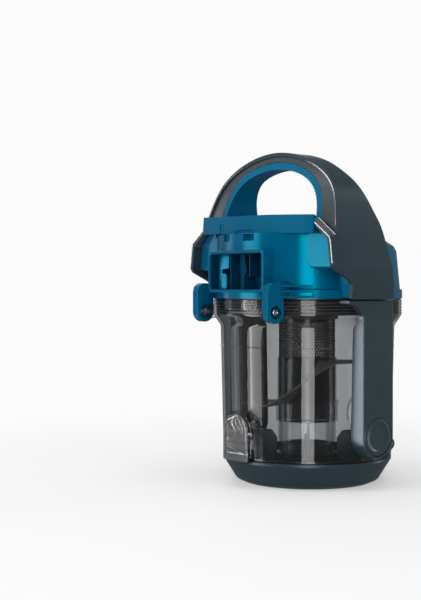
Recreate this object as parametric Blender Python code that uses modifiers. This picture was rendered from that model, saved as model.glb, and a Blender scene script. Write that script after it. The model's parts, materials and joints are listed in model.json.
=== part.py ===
"""Dust container of a bagless canister vacuum cleaner: clear dust bin with a
drop-open lid, filter head with carry handle hinged on top of it.

Frame: metres, +Z up, origin on the bin's axis in the plane the lid stands on.
-Y is the front (release lever, air outlet, head hinge), +Y the rear (lid hinge,
air inlet, head latch).  All numbers below are millimetres until mm() is used.
"""
import math

import bmesh
import bpy
from mathutils import Matrix, Vector

# ------------------------------------------------------------------ dimensions
GAP = 0.3                    # clearance between neighbouring pieces
WALL = 2.2                   # moulded wall

LID_R, LID_TOP = 66.4, 20.7  # drop-open lid
LID_CONE_R, LID_FLAT_R = 55.5, 51.0
LID_HOLE_R, LID_COLLAR_R, LID_COLLAR_TOP = 17.6, 20.2, 29.5
FIN_TOP, FIN_R0, FIN_R1 = 39.0, 25.8, 56.0

BIN_Z0, BIN_NECK_Z, BIN_COLLAR_Z, BIN_Z1 = 21.0, 122.7, 130.5, 143.3
BIN_R0, BIN_R1, COLLAR_R = 66.4, 68.8, 74.6

LID_AXIS_Y, LID_AXIS_Z = 75.5, 24.0      # lid hinge
HEAD_AXIS_Y, HEAD_AXIS_Z = -73.1, 134.0  # head hinge
LEVER_AXIS_Y, LEVER_AXIS_Z = -70.5, 42.0
LATCH_AXIS_Y, LATCH_AXIS_Z = 77.6, 152.5
REACH_Y = 81.2                           # arms in front, latch behind

TUBE_R, TUBE_Z0, TUBE_Z1 = 22.3, 47.0, 131.5
PIPE_R = 22.8
RAMP_R, RAMP_A0, RAMP_A1, RAMP_Z0, RAMP_Z1 = 52.0, -150.0, 26.0, 62.5, 96.0

HEAD_Z0, FLANGE_Z, DECK_Z = 144.3, 151.0, 193.5
ARM_X, ARM_T = 41.0, 6.4
DUCT_W, DUCT_Z0, DUCT_Z1, DUCT_Y = 32.4, 148.7, 180.7, -75.2
COVER_Z0, COVER_Z1 = 193.8, 207.5

# outer line of the handle and side panels, seen from the front (X, Z)
ARCH_OUTER = [(81.0, 143.8), (82.5, 155.0), (83.2, 166.0), (81.8, 176.0), (80.4, 187.0),
              (78.4, 198.0), (75.8, 208.0), (72.6, 218.0), (68.2, 227.0), (62.4, 234.6),
              (55.0, 240.8), (46.0, 246.2), (36.0, 250.6), (24.0, 254.2), (12.0, 256.4),
              (0.0, 257.2)]
ARCH_INNER = [(54.2, 193.8), (53.4, 204.0), (51.6, 213.5), (48.4, 222.5), (42.6, 230.4),
              (33.6, 236.8), (23.0, 240.8), (11.5, 243.3), (0.0, 244.2)]
# side outline of the same pieces (Y, Z), front edge upwards then rear edge down
FIN_FRONT_TOP = [(-45.4, 189.2), (-43.4, 200.0), (-39.9, 213.0), (-37.2, 227.5),
                 (-36.0, 242.0), (-34.4, 262.0)]
FIN_REAR = [(-11.5, 262.0), (-12.0, 250.0), (-12.0, 240.0), (-7.4, 227.5), (-1.8, 212.0),
            (3.4, 199.0), (6.2, 187.0), (8.0, 175.0), (10.4, 160.0), (13.2, 143.8)]

STEPS = 40


def mm(v):
    return v * 0.001


# ------------------------------------------------------------------ scene
for old in list(bpy.data.objects):
    bpy.data.objects.remove(old, do_unlink=True)
PARTS = bpy.data.collections.new("vacuum_dust_container")
CUTTERS = bpy.data.collections.new("cutters")
bpy.context.scene.collection.children.link(PARTS)
bpy.context.scene.collection.children.link(CUTTERS)


def material(name, colour, rough, metal=0.0, alpha=1.0):
    m = bpy.data.materials.new(name)
    m.use_nodes = True
    b = m.node_tree.nodes["Principled BSDF"]
    b.inputs["Base Color"].default_value = (*colour, 1.0)
    b.inputs["Roughness"].default_value = rough
    b.inputs["Metallic"].default_value = metal
    b.inputs["Alpha"].default_value = alpha
    return m


SLATE = material("slate_plastic", (0.020, 0.035, 0.045), 0.42)
GUNMETAL = material("gunmetal_plastic", (0.09, 0.10, 0.11), 0.28)
BLUE = material("blue_plastic", (0.0, 0.09, 0.19), 0.38)
CLEAR = material("clear_smoke_plastic", (0.62, 0.64, 0.65), 0.06, 0.0, 0.35)
DARK = material("dark_grey_plastic", (0.03, 0.033, 0.036), 0.4)
RUBBER = material("black_rubber", (0.012, 0.012, 0.013), 0.7)
STEEL = material("steel", (0.62, 0.62, 0.63), 0.28, 1.0)
CHROME = material("silver_trim", (0.75, 0.76, 0.78), 0.15, 1.0)
PAPER = material("pleated_filter_paper", (0.86, 0.85, 0.80), 0.9)
FOAM = material("filter_foam", (0.07, 0.07, 0.075), 0.95)


# ------------------------------------------------------------------ helpers
def put(obj, name, mat, cutter=False):
    obj.name = name
    obj.data.name = name
    (CUTTERS if cutter else PARTS).objects.link(obj)
    if cutter:
        obj.hide_render = True
        obj.display_type = "WIRE"
    if mat is not None:
        own = mat.copy()
        own.name = name + "_finish"
        obj.data.materials.clear()
        obj.data.materials.append(own)
    return obj


def from_bmesh(bm, name, mat, cutter=False):
    me = bpy.data.meshes.new(name)
    bm.normal_update()
    bm.to_mesh(me)
    bm.free()
    return put(bpy.data.objects.new(name, me), name, mat, cutter)


def smooth(obj, angle=32):
    obj.data.shade_smooth()
    obj.data.set_sharp_from_angle(angle=math.radians(angle))
    return obj


def turned(name, profile, mat=None, cutter=False, steps=STEPS, axis_at=(0, 0)):
    """Closed profile of (r, z), running down the outer side, spun about Z."""
    me = bpy.data.meshes.new(name)
    pts = [(mm(r), 0, mm(z)) for r, z in profile]
    ring = [(i, (i + 1) % len(pts)) for i in range(len(pts))]
    me.from_pydata(pts, [e for e in ring if profile[e[0]][0] > 0 or profile[e[1]][0] > 0], [])
    obj = put(bpy.data.objects.new(name, me), name, mat, cutter)
    obj.location = (mm(axis_at[0]), mm(axis_at[1]), 0)
    s = obj.modifiers.new("turn", "SCREW")
    s.axis = "Z"
    s.angle = 2 * math.pi
    s.steps = s.render_steps = steps
    s.use_merge_vertices = True
    s.merge_threshold = 0.00001
    s.use_smooth_shade = True
    return obj


def disc_profile(r, z0, z1):
    """Solid plug about the axis: its inner edge sits on the axis."""
    return [(0, z1), (r, z1), (r, z0), (0, z0)]


def plug(name, r, z0, z1, mat=None, cutter=False, steps=STEPS, centre=(0, 0), r_top=None):
    bm = bmesh.new()
    bmesh.ops.create_cone(bm, cap_ends=True, segments=steps, radius1=mm(r),
                          radius2=mm(r if r_top is None else r_top), depth=mm(z1 - z0))
    bmesh.ops.translate(bm, verts=bm.verts, vec=(mm(centre[0]), mm(centre[1]), mm((z0 + z1) / 2)))
    return from_bmesh(bm, name, mat, cutter)


def rod_x(name, r, x0, x1, y, z, mat=None, cutter=False, steps=20):
    """Round bar along X."""
    bm = bmesh.new()
    bmesh.ops.create_cone(bm, cap_ends=True, segments=steps, radius1=mm(r), radius2=mm(r),
                          depth=mm(x1 - x0))
    bmesh.ops.rotate(bm, verts=bm.verts, cent=(0, 0, 0), matrix=Matrix.Rotation(math.pi / 2, 3, "Y"))
    bmesh.ops.translate(bm, verts=bm.verts, vec=(mm((x0 + x1) / 2), mm(y), mm(z)))
    return from_bmesh(bm, name, mat, cutter)


def rod_y(name, r, y0, y1, x, z, mat=None, cutter=False, steps=32):
    bm = bmesh.new()
    bmesh.ops.create_cone(bm, cap_ends=True, segments=steps, radius1=mm(r), radius2=mm(r),
                          depth=mm(y1 - y0))
    bmesh.ops.rotate(bm, verts=bm.verts, cent=(0, 0, 0), matrix=Matrix.Rotation(math.pi / 2, 3, "X"))
    bmesh.ops.translate(bm, verts=bm.verts, vec=(mm(x), mm((y0 + y1) / 2), mm(z)))
    return from_bmesh(bm, name, mat, cutter)


def block(name, x0, x1, y0, y1, z0, z1, mat=None, cutter=False):
    bm = bmesh.new()
    bmesh.ops.create_cube(bm, size=1.0)
    bmesh.ops.scale(bm, verts=bm.verts, vec=(mm(x1 - x0), mm(y1 - y0), mm(z1 - z0)))
    bmesh.ops.translate(bm, verts=bm.verts,
                        vec=(mm((x0 + x1) / 2), mm((y0 + y1) / 2), mm((z0 + z1) / 2)))
    return from_bmesh(bm, name, mat, cutter)


def outline(name, pts, lo, hi, along, mat=None, cutter=False, hole=None):
    """Flat outline, with an optional hole, filled and extruded from lo to hi along an axis.
    along 'X': pts are (Y, Z); 'Y': pts are (X, Z); 'Z': pts are (X, Y)."""
    cu = bpy.data.curves.new(name, "CURVE")
    cu.dimensions = "2D"
    cu.fill_mode = "BOTH"
    cu.extrude = mm(hi - lo) / 2
    for loop in [pts] + ([hole] if hole else []):
        sp = cu.splines.new("POLY")
        sp.points.add(len(loop) - 1)
        for p, (u, v) in zip(sp.points, loop):
            p.co = (mm(u), mm(v), 0, 1)
        sp.use_cyclic_u = True
    tmp = bpy.data.objects.new(name + "_curve", cu)
    CUTTERS.objects.link(tmp)
    mid = mm((lo + hi) / 2)
    if along == "X":      # curve (u, v, w) -> world (w, u, v)
        tmp.matrix_world = Matrix(((0, 0, 1, mid), (1, 0, 0, 0), (0, 1, 0, 0), (0, 0, 0, 1)))
    elif along == "Y":    # curve (u, v, w) -> world (u, -w, v)
        tmp.matrix_world = Matrix(((1, 0, 0, 0), (0, 0, -1, mid), (0, 1, 0, 0), (0, 0, 0, 1)))
    else:
        tmp.matrix_world = Matrix(((1, 0, 0, 0), (0, 1, 0, 0), (0, 0, 1, mid), (0, 0, 0, 1)))
    bpy.context.view_layer.update()
    me = bpy.data.meshes.new_from_object(tmp.evaluated_get(bpy.context.evaluated_depsgraph_get()))
    world = tmp.matrix_world.copy()
    bm = bmesh.new()
    bm.from_mesh(me)
    bmesh.ops.remove_doubles(bm, verts=bm.verts, dist=0.000001)
    bm.transform(world)
    bmesh.ops.recalc_face_normals(bm, faces=bm.faces)
    bpy.data.objects.remove(tmp, do_unlink=True)
    bpy.data.meshes.remove(me)
    return from_bmesh(bm, name, mat, cutter)


def rounded(u0, u1, v0, v1, r, n=4):
    """Rectangle with rounded corners."""
    pts = []
    for cu_, cv_, a0 in ((u1 - r, v1 - r, 0), (u0 + r, v1 - r, 90), (u0 + r, v0 + r, 180), (u1 - r, v0 + r, 270)):
        pts += [(cu_ + r * math.cos(math.radians(a0 + 90 * i / n)), cv_ + r * math.sin(math.radians(a0 + 90 * i / n)))
                for i in range(n + 1)]
    return pts


def mirrored(src, name, cutter=None):
    """A copy of src reflected in the X = 0 plane."""
    bm = bmesh.new()
    bm.from_mesh(src.data)
    bmesh.ops.scale(bm, verts=bm.verts, vec=(-1, 1, 1))
    bmesh.ops.reverse_faces(bm, faces=bm.faces)
    is_cutter = src.hide_render if cutter is None else cutter
    obj = from_bmesh(bm, name, None, is_cutter)
    for m in src.data.materials:
        obj.data.materials.append(m)
    return obj


def combine(obj, other, op):
    m = obj.modifiers.new(other.name, "BOOLEAN")
    m.operation = op
    m.solver = "EXACT"
    m.object = other
    return obj


def cut(obj, *others):
    for o in others:
        combine(obj, o, "DIFFERENCE")
    return obj


def join(obj, *others):
    for o in others:
        combine(obj, o, "UNION")
    return obj


def freeze(obj):
    """Applies obj's modifiers, so that a finished shape can be mirrored or reused."""
    bpy.context.view_layer.update()
    me = bpy.data.meshes.new_from_object(obj.evaluated_get(bpy.context.evaluated_depsgraph_get()))
    obj.modifiers.clear()
    old = obj.data
    name = old.name
    obj.data = me
    bpy.data.meshes.remove(old)
    me.name = name
    return obj


def bevel(obj, width, segments=2, angle=40):
    b = obj.modifiers.new("bevel", "BEVEL")
    b.width = mm(width)
    b.segments = segments
    b.limit_method = "ANGLE"
    b.angle_limit = math.radians(angle)
    b.use_clamp_overlap = True
    return obj


def lerp_x(pts, z):
    """X of a (X, Z) line at height z."""
    for (x0, z0), (x1, z1) in zip(pts, pts[1:]):
        if min(z0, z1) <= z <= max(z0, z1) and z0 != z1:
            return x0 + (x1 - x0) * (z - z0) / (z1 - z0)
    return pts[-1][0]


def inset(pts, d):
    """Line offset to its left-hand side by d (points ordered outer bottom to top)."""
    out = []
    for i, (x, z) in enumerate(pts):
        a = pts[max(i - 1, 0)]
        b = pts[min(i + 1, len(pts) - 1)]
        t = Vector((b[0] - a[0], b[1] - a[1])).normalized()
        if i == len(pts) - 1:
            t = Vector((-1.0, 0.0))
        out.append((x - t.y * d, z + t.x * d))
    return out


def arch_region(name, outer, inner, y0, y1, mat=None, cutter=False):
    """Area between two half lines (X, Z), closed by reflection, extruded in Y."""
    right_out, right_in = list(outer), list(inner)
    left_out = [(-x, z) for x, z in reversed(outer[:-1])]
    left_in = [(-x, z) for x, z in inner[:-1]]
    pts = right_out + left_out + left_in + list(reversed(right_in))
    return outline(name, pts, y0, y1, "Y", mat, cutter)


def helix(name, r, y0, y1, x, z, wire, turns, mat):
    """Compression spring along Y, a closed tube along a coil."""
    per = 8
    n = int(turns * per)
    cu = bpy.data.curves.new(name, "CURVE")
    cu.dimensions = "3D"
    cu.bevel_depth = mm(wire)
    cu.bevel_resolution = 1
    cu.use_fill_caps = True
    sp = cu.splines.new("POLY")
    sp.points.add(n)
    for i, p in enumerate(sp.points):
        a = 2 * math.pi * i / per
        p.co = (mm(x + r * math.cos(a)), mm(y0 + (y1 - y0) * i / n), mm(z + r * math.sin(a)), 1)
    return put(bpy.data.objects.new(name, cu), name, mat)


# ------------------------------------------------------------------ dust bin
def bin_outer_r(z):
    if z <= BIN_NECK_Z:
        return BIN_R0 + (BIN_R1 - BIN_R0) * (z - BIN_Z0) / (BIN_NECK_Z - BIN_Z0)
    if z <= BIN_COLLAR_Z:
        return BIN_R1 + (COLLAR_R - BIN_R1) * (z - BIN_NECK_Z) / (BIN_COLLAR_Z - BIN_NECK_Z)
    return COLLAR_R


dust_bin = turned("dust_bin", [
    (0.0, BIN_Z1), (COLLAR_R - 0.6, BIN_Z1), (COLLAR_R, BIN_Z1 - 0.6),
    (COLLAR_R, BIN_COLLAR_Z), (BIN_R1, BIN_NECK_Z), (BIN_R0, BIN_Z0), (0.0, BIN_Z0)], CLEAR)

# head-hinge lugs on the collar, one inside each arm
lug_pts = [(HEAD_AXIS_Y + 5.6 * math.cos(a), HEAD_AXIS_Z + 5.6 * math.sin(a))
           for a in [math.radians(100 + 16 * i) for i in range(11)]]
for side in (-1, 1):
    x0, x1 = sorted((side * 31.0, side * 37.4))
    lug = outline(f"lug_{side}", lug_pts + [(-62.5, 129.4), (-62.5, 139.2)], x0, x1, "X", None, True)
    join(dust_bin, lug)

# pocket cheeks and roof around the release lever
arch = [(16.4 * math.cos(math.radians(a)), 43.5 + 15.6 * math.sin(math.radians(a)))
        for a in range(0, 181, 15)]
arch_in = [(14.5 * math.cos(math.radians(a)), 43.5 + 13.9 * math.sin(math.radians(a)))
           for a in range(0, 181, 15)]
pocket = outline("pocket", [(16.4, 24.0)] + arch + [(-16.4, 24.0)] + [(-14.5, 24.0)]
                 + list(reversed(arch_in)) + [(14.5, 24.0)], -73.2, -62.0, "Y", None, True)
bin_bore = turned("bin_bore", [(0.0, 160), (COLLAR_R - 2.4, 160), (COLLAR_R - 2.4, BIN_COLLAR_Z + 0.7),
                               (BIN_R1 - WALL, BIN_NECK_Z + 0.8), (BIN_R0 - WALL, BIN_Z0),
                               (BIN_R0 - WALL, 0), (0.0, 0)], None, True)
join(dust_bin, pocket)
# spring seat behind the lever
join(dust_bin, rod_y("spring_seat", 2.4, -68.2, -64.0, 0, 50.5, None, True, 16))

# lid-hinge lug at the rear, and the inlet stub above it
rear_lug = outline("rear_lug", [(LID_AXIS_Y + 4.5 * math.cos(math.radians(a)),
                                 LID_AXIS_Z + 4.5 * math.sin(math.radians(a)))
                                for a in range(-130, 51, 18)] + [(65.0, 37.0), (65.0, 21.2)],
                   -12.2, 12.2, "X", None, True)
join(dust_bin, rear_lug)
INLET_Z, INLET_R = 48.0, 17.0
# latch tooth at the rear of the collar
join(dust_bin, outline("tooth", [(73.5, 134.5), (76.8, 137.5), (76.8, 139.0), (73.5, 141.5)],
                       -10, 10, "X", None, True))
# blind bosses that take the rail screws
for side in (-1, 1):
    x0, x1 = sorted((side * 64.8, side * 71.0))
    join(dust_bin, rod_x(f"boss_{side}", 4.6, x0, x1, 0, 40.5, None, True, 20))
cut(dust_bin, bin_bore)
cut(dust_bin, rod_y("inlet_hole", INLET_R + GAP, 50.0, 80.0, 0, INLET_Z, None, True, 40))
for side in (-1, 1):
    x0, x1 = sorted((side * 66.8, side * 74.0))
    cut(dust_bin, rod_x(f"pilot_{side}", 1.9, x0, x1, 0, 40.5, None, True, 14))
cut(dust_bin, rod_x("head_pin_bore", 2.3, -46, 46, HEAD_AXIS_Y, HEAD_AXIS_Z, None, True, 16))
cut(dust_bin, rod_x("lever_pin_bore", 1.5, -20, 20, LEVER_AXIS_Y, LEVER_AXIS_Z, None, True, 14))
cut(dust_bin, rod_x("lid_pin_bore", 1.8, -25, 25, LID_AXIS_Y, LID_AXIS_Z, None, True, 14))

# air-inlet port, a short open pipe set in the rear wall
inlet_port = rod_y("inlet_port", INLET_R, 61.5, 73.0, 0, INLET_Z, CLEAR, False, 40)
cut(inlet_port, rod_y("inlet_bore", INLET_R - 2.0, 50.0, 80.0, 0, INLET_Z, None, True, 40))

# ribbed rubber sleeve in the collar
ribs = []
z_top, z_bot, n = BIN_Z1 - 0.6, 134.6, 3
step = (z_top - z_bot) / n
for i in range(n):
    z = z_top - i * step
    ribs += [(71.8, z), (71.8, z - step * 0.5), (70.9, z - step * 0.5 - 0.05), (70.9, z - step + 0.05)]
bin_gasket = turned("bin_gasket", [(69.2, z_top)] + ribs + [(69.2, z_bot + 0.05)], RUBBER)

# ------------------------------------------------------------------ side rails
bin_skin = turned("bin_skin", [(0.0, 150.0), (COLLAR_R + GAP, 150.0), (COLLAR_R + GAP, BIN_COLLAR_Z - 0.2),
                               (BIN_R1 + GAP, BIN_NECK_Z - 0.2), (BIN_R0 + GAP, BIN_Z0),
                               (BIN_R0 + GAP - 0.05, 10), (0.0, 10)], None, True, 72)
RAIL_W, RAIL_X, CAP_Z, CAP_R = 16.5, 77.2, 40.5, 12.6
rail_pts = [(RAIL_W * math.cos(math.radians(a)), CAP_Z + RAIL_W * math.sin(math.radians(a)))
            for a in range(-180, 1, 12)]
rail_pts += [(RAIL_W, BIN_Z1 - 0.2), (-31.5, BIN_Z1 - 0.2), (-31.5, BIN_Z1 - 3.0),
             (-RAIL_W - 5.0, BIN_Z1 - 5.4), (-RAIL_W, BIN_Z1 - 11.0)]
side_rail_right = outline("side_rail_right", rail_pts, 55.0, RAIL_X, "X", SLATE)
cut(side_rail_right, bin_skin)
cut(side_rail_right, rod_x("cap_recess", CAP_R + GAP, RAIL_X - 2.6, RAIL_X + 5, 0, CAP_Z, None, True, 36))
cut(side_rail_right, rod_x("boss_well", 5.0, 55.0, 71.4, 0, CAP_Z, None, True, 20))
cut(side_rail_right, rod_x("screw_way", 2.4, 55.0, 90.0, 0, CAP_Z, None, True, 16))
cut(side_rail_right, rod_x("screw_seat", 4.0, 72.3, 80.0, 0, CAP_Z, None, True, 18))
freeze(side_rail_right)
smooth(side_rail_right)
side_rail_left = mirrored(side_rail_right, "side_rail_left")
smooth(side_rail_left)

def rail_cap(name, side):
    """Round dished cover over the rail screw."""
    o = turned(name, [(0.0, RAIL_X - 1.2), (CAP_R - 4.4, RAIL_X - 1.2), (CAP_R - 3.6, RAIL_X - 0.35),
                      (CAP_R - 0.7, RAIL_X - 0.35), (CAP_R, RAIL_X - 0.9), (CAP_R, RAIL_X - 2.2),
                      (0.0, RAIL_X - 2.2)], SLATE, False, 40)
    o.rotation_euler = (0, side * math.pi / 2, 0)
    o.location = (0, 0, mm(CAP_Z))
    return o


rail_cap_right = rail_cap("rail_cap_right", 1)
rail_cap_left = rail_cap("rail_cap_left", -1)


def rail_screw(name, side):
    o = rod_x(name, 3.6, *sorted((side * 72.6, side * 74.3)), 0, CAP_Z, STEEL, False, 18)
    shank = rod_x(name + "_shank", 1.55, *sorted((side * 67.6, side * 73.0)), 0, CAP_Z, None, True, 14)
    slot = block(name + "_slot", *sorted((side * 73.7, side * 75.0)), -2.4, 2.4, CAP_Z - 0.4, CAP_Z + 0.4,
                 None, True)
    join(o, shank)
    cut(o, slot)
    return o


rail_screw_right = rail_screw("rail_screw_right", 1)
rail_screw_left = rail_screw("rail_screw_left", -1)

# ------------------------------------------------------------------ cyclone insert
insert_plate = turned("insert_plate", [(71.7, 134.0), (71.7, 132.4), (68.5, 131.8), (24.8, 131.8),
                                       (24.8, 127.8), (22.7, 127.8), (22.7, 132.0), (19.6, 132.0),
                                       (19.6, 134.0)], DARK)
shroud_tube = turned("shroud_tube", [(TUBE_R, TUBE_Z1), (TUBE_R, TUBE_Z0), (0.0, TUBE_Z0), (0.0, TUBE_Z0 + 1.8),
                                     (TUBE_R - 1.7, TUBE_Z0 + 1.8), (TUBE_R - 1.7, TUBE_Z1)], DARK, False, 36)
# air slots through the upper part of the shroud
for k in range(12):
    a = math.radians(15 + 30 * k)
    s = block(f"shroud_slot_{k}", TUBE_R - 4.0, TUBE_R + 2.0, -1.5, 1.5, 98.0, 126.0, None, True)
    s.data.transform(Matrix.Rotation(a, 4, "Z"))
    cut(shroud_tube, s)

swirl_ramp = turned("swirl_ramp", [(24.4, 97.5), (24.4, TUBE_Z0), (22.7, TUBE_Z0), (22.7, 97.5)],
                    CLEAR, False, 36)
bm = bmesh.new()
rows, n = [], 24
for i in range(n + 1):
    deg = RAMP_A0 + (RAMP_A1 - RAMP_A0) * i / n
    a = math.radians(deg)
    t = min(max((deg + 82.0) / 64.0, 0.0), 1.0)
    z = RAMP_Z0 + (RAMP_Z1 - RAMP_Z0) * (0.65 * t + 0.35 * (3 * t * t - 2 * t ** 3))
    d = Vector((math.cos(a), math.sin(a), 0))
    rows.append([bm.verts.new(mm(r) * d + Vector((0, 0, mm(zz))))
                 for r, zz in ((23.5, z), (RAMP_R, z), (RAMP_R, z - 1.7), (23.5, z - 1.7))])
for a, b in zip(rows, rows[1:]):
    for j in range(4):
        k = (j + 1) % 4
        bm.faces.new((a[j], b[j], b[k], a[k]))
bm.faces.new(rows[0])
bm.faces.new(list(reversed(rows[-1])))
bmesh.ops.recalc_face_normals(bm, faces=bm.faces)
ramp = from_bmesh(bm, "ramp_blade", None, True)
join(swirl_ramp, ramp)

standpipe = turned("standpipe", [(PIPE_R, 46.6), (PIPE_R, 22.2), (PIPE_R - 1.5, 22.2), (PIPE_R - 1.5, 46.6)],
                   CLEAR, False, 36)

# ------------------------------------------------------------------ drop-open lid
bottom_lid = turned("bottom_lid", [
    (LID_R, LID_TOP), (LID_R, 18.4), (LID_CONE_R + 0.9, 2.6), (LID_CONE_R - 1.2, 0.7), (LID_FLAT_R, 0.0),
    (LID_HOLE_R, 0.0), (LID_HOLE_R, LID_COLLAR_TOP), (LID_COLLAR_R, LID_COLLAR_TOP), (LID_COLLAR_R, 19.4),
    (25.0, 19.4), (25.0, 17.2), (LID_COLLAR_R, 15.0), (LID_COLLAR_R, 2.4), (LID_CONE_R - 4.0, 2.4),
    (59.5, 14.4), (59.5, 17.0), (63.9, 17.0), (63.9, LID_TOP)], SLATE)
for k in range(4):
    a = math.radians(45 + 90 * k)
    fin_pts = [(FIN_R1 + 1.5, 10.0), (FIN_R1, FIN_TOP - 9.0), (FIN_R1 - 4.0, FIN_TOP - 2.0),
               (FIN_R1 - 10.0, FIN_TOP), (FIN_R0 + 8.0, FIN_TOP), (FIN_R0 + 2.5, FIN_TOP - 2.5),
               (FIN_R0, FIN_TOP - 8.0), (FIN_R0 - 1.0, 1.5), (50.0, 1.5)]
    fin = outline(f"fin_{k}", list(reversed(fin_pts)), -1.0, 1.0, "Y", None, True)
    fin.data.transform(Matrix.Rotation(a, 4, "Z"))
    join(bottom_lid, fin)
# latch tongue at the front, with its outward barb
tongue = outline("tongue", [(-64.8, 16.8), (-64.8, 12.0), (-69.6, 16.0), (-71.6, 22.8), (-71.9, 25.6),
                            (-71.9, 27.2), (-70.2, 29.2), (-68.6, 29.2), (-68.0, 21.5), (-66.6, 19.9), (-65.4, 19.9)],
                 -11.0, 11.0, "X", None, True)
join(bottom_lid, tongue)
# knuckles either side of the bin's lug
for side in (-1, 1):
    x0, x1 = sorted((side * 12.7, side * 21.0))
    k = outline(f"knuckle_{side}", [(LID_AXIS_Y + 4.5 * math.cos(math.radians(a)),
                                     LID_AXIS_Z + 4.5 * math.sin(math.radians(a)))
                                    for a in range(-50, 146, 15)]
                + [(LID_AXIS_Y - 5.6, 20.4), (61.6, 20.4), (61.6, 12.0), (70.0, 14.0)], x0, x1, "X", None, True)
    join(bottom_lid, k)
cut(bottom_lid, turned("seal_seat", [(63.9, 40), (63.9, 17.0), (59.6, 17.0), (59.6, 40)], None, True))
cut(bottom_lid, rod_x("lid_bore", 1.8, -25, 25, LID_AXIS_Y, LID_AXIS_Z, None, True, 14))

lid_seal = turned("lid_seal", [(63.5, 22.4), (63.5, 20.8), (63.5, 17.3), (60.0, 17.3), (60.0, 20.0),
                               (62.2, 22.4)], RUBBER)
standpipe_seal = turned("standpipe_seal", [(24.8, 21.8), (24.8, 19.7), (20.6, 19.7), (20.6, 21.8)],
                        RUBBER, False, 40)
lid_hinge_pin = rod_x("lid_hinge_pin", 1.5, -21.6, 21.6, LID_AXIS_Y, LID_AXIS_Z, STEEL, False, 18)

# ------------------------------------------------------------------ release lever
lv = [(13.9 * math.cos(math.radians(a)), 43.5 + 13.2 * math.sin(math.radians(a))) for a in range(0, 181, 12)]
release_lever = outline("release_lever", [(13.9, 21.2)] + lv + [(-13.9, 21.2)], -75.4, -73.5, "Y", CLEAR)
for side in (-1, 1):
    x0, x1 = sorted((side * 10.6, side * 12.9))
    rib = outline(f"lever_rib_{side}", [(-74.5, 21.2), (-72.9, 21.2), (-72.6, 30.0), (-68.4, 38.0), (-67.9, 42.0),
                                        (-68.4, 46.0), (-72.4, 49.0), (-74.5, 49.0)], x0, x1, "X",
                  None, True)
    join(release_lever, rib)
join(release_lever, outline("lever_catch", [(-74.5, 21.2), (-72.4, 21.2), (-72.3, 24.6), (-73.4, 26.4), (-74.5, 26.4)],
                            -10.8, 10.8, "X", None, True))
join(release_lever, rod_y("lever_cup", 4.6, -74.4, -72.5, 0, 50.0, None, True, 24))
cut(release_lever, rod_y("lever_cup_bore", 3.9, -73.6, -70.0, 0, 50.0, None, True, 24))
cut(release_lever, rod_x("lever_bore", 1.5, -20, 20, LEVER_AXIS_Y, LEVER_AXIS_Z, None, True, 14))
lever_pin = rod_x("lever_pin", 1.2, -16.2, 16.2, LEVER_AXIS_Y, LEVER_AXIS_Z, STEEL, False, 16)
lever_spring = helix("lever_spring", 3.1, -72.9, -67.75, 0, 50.0, 0.32, 4.0, STEEL)

# ------------------------------------------------------------------ filter housing
filter_housing = turned("filter_housing", [
    (0.0, DECK_Z), (57.0, DECK_Z), (58.5, 190.6), (63.0, 188.6), (68.4, 185.0), (70.4, 181.0), (73.2, FLANGE_Z + 0.4),
    (74.9, FLANGE_Z), (74.9, HEAD_Z0), (0.0, HEAD_Z0)], BLUE)
front_wall = plug("front_wall", 72.9, 150.0, DECK_Z - 0.01, None, True, STEPS, (0, 0), 71.4)
combine(front_wall, block("front_half", -56, 56, -90, -30, 140, 200, None, True), "INTERSECT")
join(filter_housing, front_wall)


def shoulder(side):
    """Block under each side panel that carries the handle leg."""
    inner = inset(ARCH_OUTER, 3.4)
    body = [(s * side, z) for s, z in
            [(40.0, 166.4), (76.0, 166.4)] + [(lerp_x(inner, z), z) for z in (168.4, 176.0, 187.0, DECK_Z)]
            + [(40.0, DECK_Z)]]
    wing = [(s * side, z) for s, z in
            [(38.0, 167.2), (79.2, 167.2), (78.2, 176.0), (76.4, 187.4), (60.8, 199.3), (55.8, 199.6),
             (54.6, 196.6), (53.7, 192.6), (38.0, 192.6)]]
    low = [(s * side, z) for s, z in [(48.7, HEAD_Z0 + 0.5), (77.3, HEAD_Z0 + 0.5), (78.8, 156.0), (79.2, 165.2),
                                      (79.2, 167.9), (48.7, 167.9)]]
    if side > 0:
        body, wing, low = body[::-1], wing[::-1], low[::-1]
    return (outline(f"shoulder_body_{side}", body, -45.0, 3.0, "Y", None, True),
            outline(f"shoulder_wing_{side}", wing, -52.4, -44.2, "Y", None, True),
            outline(f"shoulder_low_{side}", low, -30.0, 10.0, "Y", None, True))


for side in (-1, 1):
    join(filter_housing, *shoulder(side))
join(filter_housing, outline("duct_box", rounded(-DUCT_W, DUCT_W, DUCT_Z0, DUCT_Z1, 4.0), DUCT_Y, -55, "Y", None, True))

# hinge arms with their gusset ribs
arm_pts = [(-73.1 + 8.1 * math.cos(math.radians(a)), HEAD_AXIS_Z + 8.1 * math.sin(math.radians(a)))
           for a in range(-180, 1, 15)]
arm_pts = arm_pts + [(-65.0, 141.0), (-65.0, HEAD_Z0 + 0.7), (-58.3, HEAD_Z0 + 0.7), (-58.3, 156.0), (-76.5, 156.0),
                     (-80.0, 153.5), (-81.2, 149.5)]
for side in (-1, 1):
    x0, x1 = sorted((side * (ARM_X - ARM_T / 2), side * (ARM_X + ARM_T / 2)))
    join(filter_housing, outline(f"arm_{side}", arm_pts, x0, x1, "X", None, True))
    for j, z in enumerate((145.6, 149.6, 153.6)):
        join(filter_housing, outline(f"arm_rib_{side}_{j}",
                                     [(side * 44.0, -70.0), (side * 57.0, -48.5), (side * 52.0, -44.0), (side * 40.0, -54.0)],
                                     z - 0.7, z + 0.7, "Z", None, True))
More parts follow.
